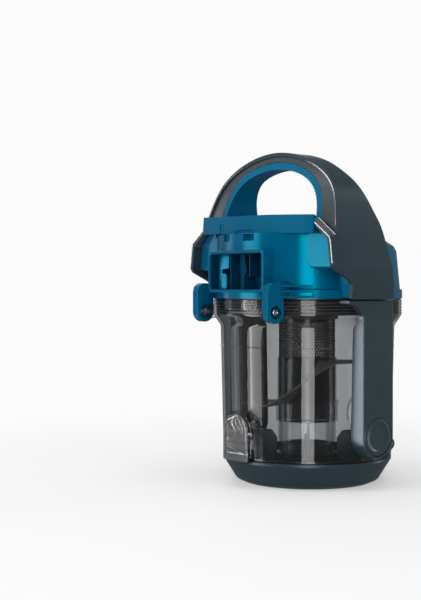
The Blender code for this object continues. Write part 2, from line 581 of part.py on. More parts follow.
# rear ears for the head latch
for side in (-1, 1):
    x0, x1 = sorted((side * 12.6, side * 15.4))
    join(filter_housing, outline(f"ear_{side}", [(70.0, 146.5), (74.6, 146.5), (79.4, 150.2), (80.4, 152.5), (79.4, 155.0),
                                                 (76.0, 156.6), (70.0, 156.6)], x0, x1, "X", None, True))
# hollow inside, open at the bottom
cavity = turned("cavity", [(0.0, DECK_Z - WALL), (54.8, DECK_Z - WALL), (56.5, 188.4), (62.0, 186.4), (66.6, 183.4), (68.2, 180.2),
                           (70.9, FLANGE_Z), (72.0, 147.5), (72.0, HEAD_Z0 - 2), (0.0, HEAD_Z0 - 2)], None, True)
cut(filter_housing, cavity)
for side in (-1, 1):
    hollow = [(side * 45.0, 169.0), (side * 75.4, 169.0), (side * 74.2, 185.0), (side * 72.2, 190.8), (side * 45.0, 190.8)]
    if side > 0:
        hollow = hollow[::-1]
    cut(filter_housing, outline(f"hollow_{side}", hollow, -49.6, 0.4, "Y", None, True))
cut(filter_housing, outline("duct_bore", rounded(-DUCT_W + WALL, DUCT_W - WALL, DUCT_Z0 + WALL, DUCT_Z1 - WALL, 2.4),
                            -90, -52, "Y", None, True))
# upright vanes inside the duct, behind its mouth
for x in (-13.0, 9.0):
    join(filter_housing, block(f"duct_vane_{x}", x - 0.9, x + 0.9, -71.6, -60.5, DUCT_Z0 + 1.0, DUCT_Z1 - 1.0, None, True))
for x in (-16.0, 11.0):
    cut(filter_housing, block(f"clip_window_{x}", x - 4.6, x + 4.6, -90, -69.0, 186.6, 191.6, None, True))
cut(filter_housing, rod_x("arm_bore", 2.3, -50, 50, HEAD_AXIS_Y, HEAD_AXIS_Z, None, True, 16))
cut(filter_housing, rod_x("ear_bore", 1.6, -18, 18, LATCH_AXIS_Y, LATCH_AXIS_Z, None, True, 12))


def hinge_pin(name, side):
    o = rod_x(name, 1.9, *sorted((side * 31.4, side * 44.0)), HEAD_AXIS_Y, HEAD_AXIS_Z, STEEL, False, 18)
    head = rod_x(name + "_head", 3.0, *sorted((side * 44.5, side * 45.4)), HEAD_AXIS_Y, HEAD_AXIS_Z, None, True, 18)
    neck = rod_x(name + "_neck", 1.9, *sorted((side * 43.0, side * 44.9)), HEAD_AXIS_Y, HEAD_AXIS_Z, None, True, 18)
    join(o, neck, head)
    return o


head_pin_right = hinge_pin("head_hinge_pin_right", 1)
head_pin_left = hinge_pin("head_hinge_pin_left", -1)

# top cover between the handle legs
cover_pts = [(0.0, -63.4), (20.0, -62.6), (42.0, -60.2), (58.0, -57.4), (63.5, -55.8), (64.8, -53.9), (52.8, -53.9),
             (51.8, -50.0), (51.6, 0.0), (48.0, 26.0), (38.0, 42.0), (22.0, 51.0), (0.0, 54.0)]
cover_pts = cover_pts + [(-x, y) for x, y in reversed(cover_pts[1:-1])]
top_cover = outline("top_cover", cover_pts, COVER_Z0, COVER_Z1, "Z", BLUE)
pocket_pts = [(x * 0.94, (y + 3.0) * 0.945 - 3.0) for x, y in cover_pts if abs(x) < 53.5]
cut(top_cover, outline("cover_pocket", pocket_pts, COVER_Z0 - 3, COVER_Z1 - WALL, "Z", None, True))

# ------------------------------------------------------------------ handle
fin_outline = ([(13.2, 143.8), (-32.0, 143.8), (-32.4, 155.0), (-36.0, 158.0), (-51.0, 165.0), (-53.5, 168.5),
                (-53.5, 189.2)] + FIN_FRONT_TOP + FIN_REAR[:-1])
handle_shell = arch_region("handle_shell", ARCH_OUTER, inset(ARCH_OUTER, 3.0), -60.0, 20.0, SLATE)
fin_prism = outline("fin_prism", fin_outline, -100, 100, "X", None, True)
combine(handle_shell, fin_prism, "INTERSECT")
for side in (-1, 1):
    cap = [(side * x, z) for x, z in [(57.2, 203.6), (60.8, 203.2), (79.9, 189.4), (80.6, 186.0), (77.4, 186.0),
                                      (76.9, 187.9), (60.9, 199.9), (57.2, 200.4)]]
    if side < 0:
        cap = cap[::-1]
    join(handle_shell, outline(f"shoulder_cap_{side}", cap, -53.5, -45.2, "Y", None, True))
freeze(handle_shell)
smooth(handle_shell)

leg_outline = [(2.6, 193.8), (-43.0, 193.8)] + [(y + 1.2, z) for y, z in FIN_FRONT_TOP[1:-1]] + [(-33.2, 262.0)] \
    + [(y - 1.2, z) for y, z in FIN_REAR[:5]] + [(1.4, 200.0)]
core_outer = [(x, z) for x, z in inset(ARCH_OUTER, 3.3) if z > 196.0]
core_outer = [(lerp_x(inset(ARCH_OUTER, 3.3), 193.8), 193.8)] + core_outer
liner_outer = [(59.6, 193.8)] + [(x, z) for x, z in inset(list(ARCH_INNER), -5.4) if z > 196.0]
handle_core = arch_region("handle_core", core_outer, [(x + (0.3 if i == 0 else 0), z) for i, (x, z) in
                          enumerate([(59.9, 193.8)] + [(x, z) for x, z in inset(list(ARCH_INNER), -5.7) if z > 196.0])],
                          -60, 20, GUNMETAL)
combine(handle_core, outline("leg_prism", leg_outline, -100, 100, "X", None, True), "INTERSECT")
grip_outline = [(1.4, 193.8), (-41.8, 193.8)] + [(y + 2.4, z) for y, z in FIN_FRONT_TOP[1:-1]] + [(-32.0, 262.0)] \
    + [(y - 2.4, z) for y, z in FIN_REAR[:5]] + [(0.2, 200.0)]
handle_grip = arch_region("handle_grip", liner_outer, ARCH_INNER, -60, 20, BLUE)
combine(handle_grip, outline("grip_prism", grip_outline, -100, 100, "X", None, True), "INTERSECT")
for o in (handle_core, handle_grip):
    freeze(o)
    smooth(o)


def front_y(z):
    for (y0, z0), (y1, z1) in zip(FIN_FRONT_TOP, FIN_FRONT_TOP[1:]):
        if z0 <= z <= z1:
            return y0 + (y1 - y0) * (z - z0) / (z1 - z0)
    return FIN_FRONT_TOP[-1][0]


def trim(name, side):
    """Bright bead along the front edge of the handle's outer shell."""
    line = [(x, z) for x, z in inset(ARCH_OUTER, 1.5) if 195.0 < z < 249.5]
    cu = bpy.data.curves.new(name, "CURVE")
    cu.dimensions = "3D"
    cu.bevel_depth = mm(0.7)
    cu.bevel_resolution = 2
    cu.use_fill_caps = True
    sp = cu.splines.new("POLY")
    sp.points.add(len(line) - 1)
    for p, (x, z) in zip(sp.points, line):
        p.co = (mm(side * x), mm(front_y(z) - 1.1), mm(z), 1)
    return put(bpy.data.objects.new(name, cu), name, CHROME)


handle_trim_right = trim("handle_trim_right", 1)
handle_trim_left = trim("handle_trim_left", -1)

# ------------------------------------------------------------------ filter stack in the head
filter_frame = turned("filter_frame", [(70.4, 148.6), (70.4, 146.2), (20.0, 146.2), (20.0, 148.6),
                                       (22.4, 148.6), (22.4, 147.9), (55.0, 147.9), (55.0, 153.0), (57.0, 153.0), (57.0, 148.6)], DARK)
foam_filter = turned("foam_filter", [(54.4, 156.6), (54.4, 148.3), (23.0, 148.3), (23.0, 156.6)], FOAM, False, 40)

def zigzag(r_out, r_in, folds):
    return [((r_out, r_in)[i % 2] * math.cos(math.pi * i / folds),
             (r_out, r_in)[i % 2] * math.sin(math.pi * i / folds)) for i in range(folds * 2)]


pleated_filter = outline("pleated_filter", zigzag(49.0, 40.0, 30), 157.0, 184.6, "Z", PAPER, False,
                         zigzag(46.4, 37.4, 30))
filter_end_cap = turned("filter_end_cap", [(51.0, 188.2), (51.0, 184.9), (30.0, 184.9), (30.0, 188.2)], DARK, False, 36)
housing_seal = turned("housing_seal", [(71.7, 146.0), (71.7, 144.5), (68.2, 144.5), (68.2, 146.0)], RUBBER)

# ------------------------------------------------------------------ head latch
lt = [(LATCH_AXIS_Y + 2.7 * math.cos(math.radians(a)), LATCH_AXIS_Z + 2.7 * math.sin(math.radians(a)))
      for a in range(110, 251, 14)]
head_latch = outline("head_latch", [(REACH_Y - 1.0, 132.6), (REACH_Y, 134.0), (REACH_Y, 161.0), (REACH_Y - 0.8, 162.0),
                                    (REACH_Y - 2.2, 162.0), (REACH_Y - 2.6, 156.2)] + lt
                     + [(REACH_Y - 2.6, 149.0), (REACH_Y - 2.6, 138.0), (77.4, 135.6), (77.4, 132.6)],
                     -12.0, 12.0, "X", BLUE)
cut(head_latch, rod_x("latch_bore", 1.6, -18, 18, LATCH_AXIS_Y, LATCH_AXIS_Z, None, True, 12))
latch_pin = rod_x("latch_pin", 1.3, -15.6, 15.6, LATCH_AXIS_Y, LATCH_AXIS_Z, STEEL, False, 14)
latch_spring = helix("latch_spring", 2.2, 73.4, 78.1, 0, 159.4, 0.3, 4.0, STEEL)

# ------------------------------------------------------------------ joint axes
for name, y, z, kids in (("lid_axis", LID_AXIS_Y, LID_AXIS_Z, [bottom_lid, lid_seal, standpipe_seal]),
                         ("lever_axis", LEVER_AXIS_Y, LEVER_AXIS_Z, [release_lever]),
                         ("latch_axis", LATCH_AXIS_Y, LATCH_AXIS_Z, [head_latch]),
                         ("head_axis", HEAD_AXIS_Y, HEAD_AXIS_Z,
                          [filter_housing, top_cover, handle_shell, handle_core, handle_grip, handle_trim_right,
                           handle_trim_left, filter_frame, foam_filter, pleated_filter, filter_end_cap,
                           housing_seal, head_pin_right, head_pin_left, latch_pin, latch_spring])):
    pivot = bpy.data.objects.new(name, None)
    pivot.location = (0, mm(y), mm(z))
    PARTS.objects.link(pivot)
    bpy.context.view_layer.update()
    for kid in kids:
        kid.parent = pivot
        kid.matrix_parent_inverse = pivot.matrix_world.inverted()
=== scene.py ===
"""Looks for the vacuum cleaner dust container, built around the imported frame.

Millimetres are used in the numbers below and turned into metres by mm().
Front is -Y, the bin's axis is the Z axis, the lid stands on z = 0.
"""
import json
import math

import bmesh
import bpy
import numpy as np
from mathutils import Matrix, Vector

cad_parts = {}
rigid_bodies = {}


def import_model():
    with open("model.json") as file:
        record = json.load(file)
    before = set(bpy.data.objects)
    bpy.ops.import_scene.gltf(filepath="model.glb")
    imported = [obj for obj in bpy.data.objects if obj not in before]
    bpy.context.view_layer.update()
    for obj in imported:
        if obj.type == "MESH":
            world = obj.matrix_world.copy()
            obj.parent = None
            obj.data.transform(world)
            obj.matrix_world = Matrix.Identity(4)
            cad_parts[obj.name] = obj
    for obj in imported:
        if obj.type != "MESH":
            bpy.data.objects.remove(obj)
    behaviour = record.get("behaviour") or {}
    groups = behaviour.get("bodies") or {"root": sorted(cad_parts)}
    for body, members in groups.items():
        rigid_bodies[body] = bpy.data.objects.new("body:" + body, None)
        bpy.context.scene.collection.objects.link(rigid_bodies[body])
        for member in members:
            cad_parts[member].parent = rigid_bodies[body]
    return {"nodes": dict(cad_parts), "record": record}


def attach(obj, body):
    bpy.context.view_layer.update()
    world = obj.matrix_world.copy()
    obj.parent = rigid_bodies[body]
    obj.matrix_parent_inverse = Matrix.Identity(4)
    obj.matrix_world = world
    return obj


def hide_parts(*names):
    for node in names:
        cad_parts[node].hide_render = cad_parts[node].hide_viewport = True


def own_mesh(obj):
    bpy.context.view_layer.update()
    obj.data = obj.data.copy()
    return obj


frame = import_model()
NODES = frame["nodes"]
BODY = {n: b for b, ns in frame["record"]["behaviour"]["bodies"].items() for n in ns}
SLOT = {s["node"]: s["material_slot"] for s in frame["record"]["subparts"]}
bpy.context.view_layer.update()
TOOLS = bpy.data.collections.new("tools")
bpy.context.scene.collection.children.link(TOOLS)


def mm(v):
    return v * 0.001


# =============================================================== materials
def new_mat(name):
    m = bpy.data.materials.new(name)
    m.use_nodes = True
    nt = m.node_tree
    return m, nt, nt.nodes["Principled BSDF"]


def node(nt, kind, **values):
    n = nt.nodes.new(kind)
    for k, v in values.items():
        setattr(n, k, v)
    return n


def coords(nt, scale=1.0):
    tc = node(nt, "ShaderNodeTexCoord")
    mp = node(nt, "ShaderNodeMapping")
    mp.inputs["Scale"].default_value = (scale, scale, scale)
    nt.links.new(tc.outputs["Object"], mp.inputs["Vector"])
    return mp.outputs["Vector"]


def plastic(name, colour, rough, grain=0.10, grain_size=2600.0, spread=0.10, coat=0.0, coat_rough=0.1, specular=0.5,
            tint=(1, 1, 1)):
    """Moulded plastic: fine spark-eroded grain, slight shade drift, handling marks in the gloss."""
    m, nt, b = new_mat(name)
    v = coords(nt)
    big = node(nt, "ShaderNodeTexNoise")
    big.inputs["Scale"].default_value = 22.0
    big.inputs["Detail"].default_value = 5.0
    nt.links.new(v, big.inputs["Vector"])
    ramp = node(nt, "ShaderNodeMapRange")
    ramp.inputs["From Min"].default_value = 0.3
    ramp.inputs["From Max"].default_value = 0.7
    ramp.inputs["To Min"].default_value = 1.0 - spread
    ramp.inputs["To Max"].default_value = 1.0 + spread
    nt.links.new(big.outputs["Fac"], ramp.inputs["Value"])
    mul = node(nt, "ShaderNodeVectorMath", operation="SCALE")
    mul.inputs[0].default_value = colour
    nt.links.new(ramp.outputs["Result"], mul.inputs["Scale"])
    nt.links.new(mul.outputs["Vector"], b.inputs["Base Color"])
    mid = node(nt, "ShaderNodeTexNoise")
    mid.inputs["Scale"].default_value = 140.0
    mid.inputs["Detail"].default_value = 4.0
    nt.links.new(v, mid.inputs["Vector"])
    rr = node(nt, "ShaderNodeMapRange")
    rr.inputs["From Min"].default_value = 0.25
    rr.inputs["From Max"].default_value = 0.75
    rr.inputs["To Min"].default_value = rough * 0.9
    rr.inputs["To Max"].default_value = rough * 1.12
    nt.links.new(mid.outputs["Fac"], rr.inputs["Value"])
    nt.links.new(rr.outputs["Result"], b.inputs["Roughness"])
    fine = node(nt, "ShaderNodeTexNoise")
    fine.inputs["Scale"].default_value = grain_size
    fine.inputs["Detail"].default_value = 2.0
    nt.links.new(v, fine.inputs["Vector"])
    bump = node(nt, "ShaderNodeBump")
    bump.inputs["Strength"].default_value = grain
    bump.inputs["Distance"].default_value = 0.00012
    nt.links.new(fine.outputs["Fac"], bump.inputs["Height"])
    nt.links.new(bump.outputs["Normal"], b.inputs["Normal"])
    b.inputs["Specular IOR Level"].default_value = specular
    b.inputs["Specular Tint"].default_value = (*tint, 1)
    b.inputs["Coat Weight"].default_value = coat
    b.inputs["Coat Roughness"].default_value = coat_rough
    return m


def clear_plastic(name, face_tint, edge_tint, rough=0.035, fresnel=1.45, haze=0.0, inside=0.72):
    """Clear, slightly smoky moulding: passes light straight on, darker where the wall is seen edge-on."""
    m, nt, b = new_mat(name)
    nt.nodes.remove(b)
    out = next(n for n in nt.nodes if n.type == "OUTPUT_MATERIAL")
    lw = node(nt, "ShaderNodeLayerWeight")
    lw.inputs["Blend"].default_value = 0.38
    mix = node(nt, "ShaderNodeMix", data_type="RGBA")
    mix.inputs["A"].default_value = (*face_tint, 1)
    mix.inputs["B"].default_value = (*edge_tint, 1)
    nt.links.new(lw.outputs["Facing"], mix.inputs["Factor"])
    tr = node(nt, "ShaderNodeBsdfTransparent")
    nt.links.new(mix.outputs["Result"], tr.inputs["Color"])
    gl = node(nt, "ShaderNodeBsdfGlossy")
    gl.inputs["Roughness"].default_value = rough
    v = coords(nt)
    ns = node(nt, "ShaderNodeTexNoise")
    ns.inputs["Scale"].default_value = 35.0
    ns.inputs["Detail"].default_value = 3.0
    nt.links.new(v, ns.inputs["Vector"])
    bump = node(nt, "ShaderNodeBump")
    bump.inputs["Strength"].default_value = 0.10
    bump.inputs["Distance"].default_value = 0.0006
    nt.links.new(ns.outputs["Fac"], bump.inputs["Height"])
    nt.links.new(bump.outputs["Normal"], gl.inputs["Normal"])
    fr = node(nt, "ShaderNodeFresnel")
    fr.inputs["IOR"].default_value = fresnel
    ms = node(nt, "ShaderNodeMixShader")
    geo = node(nt, "ShaderNodeNewGeometry")
    inner = node(nt, "ShaderNodeMath")
    inner.operation = "MULTIPLY_ADD"
    inner.inputs[1].default_value = -inside
    inner.inputs[2].default_value = 1.0
    nt.links.new(geo.outputs["Backfacing"], inner.inputs[0])
    gloss = node(nt, "ShaderNodeMath")
    gloss.operation = "MULTIPLY"
    nt.links.new(fr.outputs["Fac"], gloss.inputs[0])
    nt.links.new(inner.outputs["Value"], gloss.inputs[1])
    nt.links.new(gloss.outputs["Value"], ms.inputs["Fac"])
    milky = node(nt, "ShaderNodeBsdfDiffuse")
    milky.inputs["Color"].default_value = (0.55, 0.56, 0.57, 1)
    body = node(nt, "ShaderNodeMixShader")
    body.inputs["Fac"].default_value = haze
    nt.links.new(tr.outputs["BSDF"], body.inputs[1])
    nt.links.new(milky.outputs["BSDF"], body.inputs[2])
    nt.links.new(body.outputs["Shader"], ms.inputs[1])
    nt.links.new(gl.outputs["BSDF"], ms.inputs[2])
    nt.links.new(ms.outputs["Shader"], out.inputs["Surface"])
    return m


def metal(name, colour, rough, streak=0.0):
    m, nt, b = new_mat(name)
    v = coords(nt)
    ns = node(nt, "ShaderNodeTexNoise")
    ns.inputs["Scale"].default_value = 420.0
    ns.inputs["Detail"].default_value = 3.0
    nt.links.new(v, ns.inputs["Vector"])
    rr = node(nt, "ShaderNodeMapRange")
    rr.inputs["To Min"].default_value = rough * 0.8
    rr.inputs["To Max"].default_value = rough * 1.3
    nt.links.new(ns.outputs["Fac"], rr.inputs["Value"])
    nt.links.new(rr.outputs["Result"], b.inputs["Roughness"])
    b.inputs["Base Color"].default_value = (*colour, 1)
    b.inputs["Metallic"].default_value = 1.0
    return m


def cloth_like(name, colour, scale, rough=0.95, depth=0.0004):
    m, nt, b = new_mat(name)
    v = coords(nt)
    vo = node(nt, "ShaderNodeTexVoronoi")
    vo.inputs["Scale"].default_value = scale
    nt.links.new(v, vo.inputs["Vector"])
    mr = node(nt, "ShaderNodeMapRange")
    mr.inputs["From Max"].default_value = 0.6
    mr.inputs["To Min"].default_value = 0.65
    mr.inputs["To Max"].default_value = 1.1
    nt.links.new(vo.outputs["Distance"], mr.inputs["Value"])
    mul = node(nt, "ShaderNodeVectorMath", operation="SCALE")
    mul.inputs[0].default_value = colour
    nt.links.new(mr.outputs["Result"], mul.inputs["Scale"])
    nt.links.new(mul.outputs["Vector"], b.inputs["Base Color"])
    bump = node(nt, "ShaderNodeBump")
    bump.inputs["Strength"].default_value = 0.6
    bump.inputs["Distance"].default_value = depth
    nt.links.new(vo.outputs["Distance"], bump.inputs["Height"])
    nt.links.new(bump.outputs["Normal"], b.inputs["Normal"])
    b.inputs["Roughness"].default_value = rough
    return m


SLATE = plastic("slate_plastic", (0.018, 0.032, 0.040), 0.34, grain=0.03, tint=(0.72, 0.86, 0.96))
SLATE_RAIL = plastic("slate_rail_plastic", (0.018, 0.033, 0.041), 0.25, grain=0.02, specular=1.0, tint=(0.80, 0.90, 0.98))
GUNMETAL = plastic("gunmetal_lacquer", (0.046, 0.055, 0.060), 0.20, grain=0.0, specular=1.0)
# light grey for the lines between the collar's rubber ribs: painted highlight
COLLAR_HIGHLIGHT_LINE = plastic("grey_painted_highlight", (0.16, 0.17, 0.18), 0.30, grain=0.0, specular=0.6)
BLUE_COVER = plastic("blue_cover_plastic", (0.0, 0.076, 0.160), 0.44, grain=0.0, spread=0.02, specular=0.28, tint=(0.0, 0.72, 1.0))
# lighter copy of the dark tube plastic for the perforated band: painted highlight so the webs read against the black
# holes
MESH = plastic("mesh_plastic_painted_highlight", (0.052, 0.054, 0.056), 0.26, grain=0.0, specular=0.9)
BLUE = plastic("blue_plastic", (0.0, 0.074, 0.156), 0.20, grain=0.0, spread=0.02, specular=0.90, tint=(0.0, 0.72, 1.0))
# darker copy of the blue plastic: painted shade for the dim inside of the outlet duct
BLUE_SHADE_PAINT = plastic("blue_plastic_painted_shade", (0.0, 0.030, 0.072), 0.45, grain=0.02, spread=0.05, specular=0.3, tint=(0.0, 0.6, 1.0))
BLUE_GRIP = plastic("blue_soft_grip", (0.0, 0.100, 0.200), 0.48, grain=0.10, grain_size=1500.0, specular=0.35,
                    tint=(0.1, 0.75, 1.0))
DARK = plastic("dark_plastic", (0.010, 0.012, 0.013), 0.20, grain=0.0, specular=0.9)
CARRIER = plastic("carrier_plastic", (0.075, 0.078, 0.080), 0.35, grain=0.0, specular=0.5)
RUBBER = plastic("black_rubber", (0.007, 0.008, 0.009), 0.26, grain=0.0, specular=0.9)
LID = plastic("lid_slate_plastic", (0.018, 0.033, 0.041), 0.33, grain=0.03, tint=(0.75, 0.88, 0.97))
CLEAR = clear_plastic("smoke_clear", (0.75, 0.755, 0.76), (0.42, 0.43, 0.44), haze=0.006)
CLEAR_PART = clear_plastic("clear_inner", (0.965, 0.97, 0.975), (0.84, 0.845, 0.85), fresnel=1.42, haze=0.02)
CLEAR_THIN = clear_plastic("clear_sleeve", (0.97, 0.97, 0.97), (0.90, 0.90, 0.90), fresnel=1.12)
CLEAR_RAMP = clear_plastic("clear_ramp", (0.62, 0.63, 0.64), (0.20, 0.21, 0.22), fresnel=1.5, haze=0.30)
CLEAR_LEVER = clear_plastic("clear_lever", (0.95, 0.955, 0.96), (0.62, 0.63, 0.64), rough=0.05, fresnel=1.55, haze=0.13, inside=0.0)
STEEL = metal("bright_steel", (0.50, 0.50, 0.51), 0.28)
CHROME = metal("silver_trim", (0.62, 0.64, 0.67), 0.20)
PAPER = cloth_like("pleated_paper", (0.80, 0.79, 0.74), 900.0, depth=0.00015)
FOAM = cloth_like("open_cell_foam", (0.055, 0.055, 0.06), 650.0)


# =============================================================== mesh helpers
def link(obj, tool=False):
    (TOOLS if tool else bpy.context.scene.collection).objects.link(obj)
    if tool:
        obj.hide_render = True
        obj.hide_viewport = False
    return obj


def from_bm(bm, name, tool=True):
    me = bpy.data.meshes.new(name)
    bm.normal_update()
    bm.to_mesh(me)
    bm.free()
    return link(bpy.data.objects.new(name, me), tool)


def lathe(name, profile, steps=160, tool=True):
    """Closed profile of (r, z), down the outer side, turned about Z."""
    bm = bmesh.new()
    rings = []
    for r, z in profile:
        if r < 1e-6:
            rings.append([bm.verts.new((0, 0, mm(z)))])
        else:
            rings.append([bm.verts.new((mm(r) * math.cos(2 * math.pi * i / steps),
                                        mm(r) * math.sin(2 * math.pi * i / steps), mm(z))) for i in range(steps)])
    n = len(profile)
    for k in range(n):
        a, b = rings[k], rings[(k + 1) % n]
        if len(a) == 1 and len(b) == 1:
            continue
        for i in range(steps):
            j = (i + 1) % steps
            if len(a) == 1:
                bm.faces.new((a[0], b[i], b[j]))
            elif len(b) == 1:
                bm.faces.new((a[j], a[i], b[0]))
            else:
                bm.faces.new((a[j], a[i], b[i], b[j]))
    bmesh.ops.recalc_face_normals(bm, faces=bm.faces)
    return from_bm(bm, name, tool)


def fillet(pts, radii, seg=5, closed=True):
    """Polyline with its corners rounded; radii is one number or a list."""
    n = len(pts)
    if not hasattr(radii, "__len__"):
        radii = [radii] * n
    out = []
    for i in range(n):
        p = Vector(pts[i])
        if not closed and i in (0, n - 1):
            out.append(tuple(p))
            continue
        a, b = Vector(pts[i - 1]), Vector(pts[(i + 1) % n])
        u, v = a - p, b - p
        lu, lv = u.length, v.length
        if radii[i] <= 0 or lu < 1e-6 or lv < 1e-6:
            out.append(tuple(p))
            continue
        u, v = u / lu, v / lv
        ang = math.acos(max(-1, min(1, u.dot(v))))
        if ang > math.radians(174):
            out.append(tuple(p))
            continue
        t = min(radii[i] / math.tan(ang / 2), lu * 0.48, lv * 0.48)
        r = t * math.tan(ang / 2)
        c = p + (u + v).normalized() * (r / math.sin(ang / 2))
        s, e = p + u * t, p + v * t
        a0 = math.atan2(s.y - c.y, s.x - c.x)
        a1 = math.atan2(e.y - c.y, e.x - c.x)
        d = (a1 - a0 + math.pi) % (2 * math.pi) - math.pi
        for k in range(seg + 1):
            w = a0 + d * k / seg
            out.append((c.x + r * math.cos(w), c.y + r * math.sin(w)))
    return out


def spline(pts, per=5):
    """Catmull-Rom line through the points."""
    out = []
    n = len(pts)
    P = [Vector(p) for p in pts]
    for i in range(n - 1):
        p0 = P[i - 1] if i else P[0] * 2 - P[1]
        p1, p2 = P[i], P[i + 1]
        p3 = P[i + 2] if i + 2 < n else P[-1] * 2 - P[-2]
        for k in range(per):
            t = k / per
            out.append(tuple(0.5 * ((2 * p1) + (p2 - p0) * t + (2 * p0 - 5 * p1 + 4 * p2 - p3) * t * t
                                    + (3 * p1 - p0 - 3 * p2 + p3) * t ** 3)))
    out.append(tuple(P[-1]))
    return out


def prism(name, pts, lo, hi, along, hole=None, edge=0.0, seg=3, tool=True, corner=20):
    """Flat outline extruded from lo to hi; edge rounds its rims."""
    cu = bpy.data.curves.new(name, "CURVE")
    cu.dimensions = "2D"
    cu.fill_mode = "BOTH"
    cu.extrude = mm(hi - lo) / 2
    for loop in [pts] + ([hole] if hole else []):
        sp = cu.splines.new("POLY")
        sp.points.add(len(loop) - 1)
        for p, (u, v) in zip(sp.points, loop):
            p.co = (mm(u), mm(v), 0, 1)
        sp.use_cyclic_u = True
    tmp = bpy.data.objects.new(name + "_c", cu)
    TOOLS.objects.link(tmp)
    mid = mm((lo + hi) / 2)
    w = {"X": ((0, 0, 1, mid), (1, 0, 0, 0), (0, 1, 0, 0), (0, 0, 0, 1)),
         "Y": ((1, 0, 0, 0), (0, 0, -1, mid), (0, 1, 0, 0), (0, 0, 0, 1)),
         "Z": ((1, 0, 0, 0), (0, 1, 0, 0), (0, 0, 1, mid), (0, 0, 0, 1))}[along]
    bpy.context.view_layer.update()
    me = bpy.data.meshes.new_from_object(tmp.evaluated_get(bpy.context.evaluated_depsgraph_get()))
    bm = bmesh.new()
    bm.from_mesh(me)
    bmesh.ops.remove_doubles(bm, verts=bm.verts, dist=1e-6)
    bmesh.ops.dissolve_limit(bm, angle_limit=0.002, verts=bm.verts, edges=bm.edges)
    bm.transform(Matrix(w))
    bmesh.ops.recalc_face_normals(bm, faces=bm.faces)
    bpy.data.objects.remove(tmp, do_unlink=True)
    bpy.data.meshes.remove(me)
    o = from_bm(bm, name, tool)
    if edge:
        round_edges(o, edge, seg, corner)
        apply(o)
    return o


def box(name, x0, x1, y0, y1, z0, z1, edge=0.0, tool=True):
    bm = bmesh.new()
    bmesh.ops.create_cube(bm, size=1.0)
    bmesh.ops.scale(bm, verts=bm.verts, vec=(mm(x1 - x0), mm(y1 - y0), mm(z1 - z0)))
    bmesh.ops.translate(bm, verts=bm.verts, vec=(mm((x0 + x1) / 2), mm((y0 + y1) / 2), mm((z0 + z1) / 2)))
    o = from_bm(bm, name, tool)
    if edge:
        round_edges(o, edge, 3, 20)
        apply(o)
    return o


def bar(name, r, p0, p1, steps=40, tool=True, r1=None, edge=0.0):
    """Round bar between two points (mm)."""
    a, b = Vector(p0) * 0.001, Vector(p1) * 0.001
    bm = bmesh.new()
    bmesh.ops.create_cone(bm, cap_ends=True, segments=steps, radius1=mm(r), radius2=mm(r if r1 is None else r1),
                          depth=(b - a).length)
    m = Matrix.Translation((a + b) / 2) @ (b - a).to_track_quat("Z", "Y").to_matrix().to_4x4()
    bm.transform(m)
    o = from_bm(bm, name, tool)
    if edge:
        round_edges(o, edge, 3, 40)
        apply(o)
    return o


def round_edges(o, width, seg=3, angle=30):
    b = o.modifiers.new("edge", "BEVEL")
    b.width = mm(width)
    b.segments = seg
    b.limit_method = "ANGLE"
    b.angle_limit = math.radians(angle)
    b.use_clamp_overlap = True
    b.miter_outer = "MITER_ARC"
    return o


def apply(o):
    bpy.context.view_layer.update()
    me = bpy.data.meshes.new_from_object(o.evaluated_get(bpy.context.evaluated_depsgraph_get()))
    o.modifiers.clear()
    old = o.data
    o.data = me
    bpy.data.meshes.remove(old)
    return o


def boolean(o, tools, op="UNION"):
    for t in tools:
        m = o.modifiers.new(t.name, "BOOLEAN")
        m.operation = op
        m.solver = "EXACT"
        m.object = t
    apply(o)
    return o


def add(o, *tools):
    return boolean(o, tools, "UNION")


def cut(o, *tools):
    return boolean(o, tools, "DIFFERENCE")


def keep(o, *tools):
    return boolean(o, tools, "INTERSECT")


def moved(o, matrix):
    o.data.transform(matrix)
    if matrix.determinant() < 0:
        o.data.flip_normals()
    return o


def twin(o, name):
    """Mirror image in the X = 0 plane."""
    c = bpy.data.objects.new(name, o.data.copy())
    link(c, True)
    return moved(c, Matrix.Diagonal((-1, 1, 1, 1)))


def piece(o, name, nodes, mat, body=None, angle=34):
    """Finishes a mesh as a visible piece that stands for CAD nodes."""
    nodes = [nodes] if isinstance(nodes, str) else list(nodes)
    if o.name in TOOLS.objects:
        TOOLS.objects.unlink(o)
        bpy.context.scene.collection.objects.link(o)
    o.hide_render = False
    o.name = name
    o.data.name = name
    if o.type == "MESH":
        bm = bmesh.new()
        bm.from_mesh(o.data)
        bmesh.ops.remove_doubles(bm, verts=bm.verts, dist=2e-7)
        bmesh.ops.dissolve_degenerate(bm, edges=bm.edges, dist=1e-7)
        bm.to_mesh(o.data)
        bm.free()
        o.data.shade_smooth()
        o.data.set_sharp_from_angle(angle=math.radians(angle))
        if not mat.name.startswith(("smoke", "clear")):
            wnm = o.modifiers.new("even", "WEIGHTED_NORMAL")
            wnm.keep_sharp = True
            wnm.weight = 60
    o.data.materials.clear()
    o.data.materials.append(mat)
    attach(o, body or BODY[nodes[0]])
    if nodes:
        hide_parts(*nodes)
    return o


def extra(o, name, mat, body, angle=34):
    """A visible piece with no CAD node of its own."""
    if o.name in TOOLS.objects:
        TOOLS.objects.unlink(o)
        bpy.context.scene.collection.objects.link(o)
    o.hide_render = False
    o.name = name
    if o.type == "MESH":
        o.data.shade_smooth()
        o.data.set_sharp_from_angle(angle=math.radians(angle))
    o.data.materials.clear()
    o.data.materials.append(mat)
    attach(o, body)
    return o


def arc(cx, cy, r, a0, a1, n):
    return [(cx + r * math.cos(math.radians(a0 + (a1 - a0) * i / n)),
             cy + r * math.sin(math.radians(a0 + (a1 - a0) * i / n))) for i in range(n + 1)]


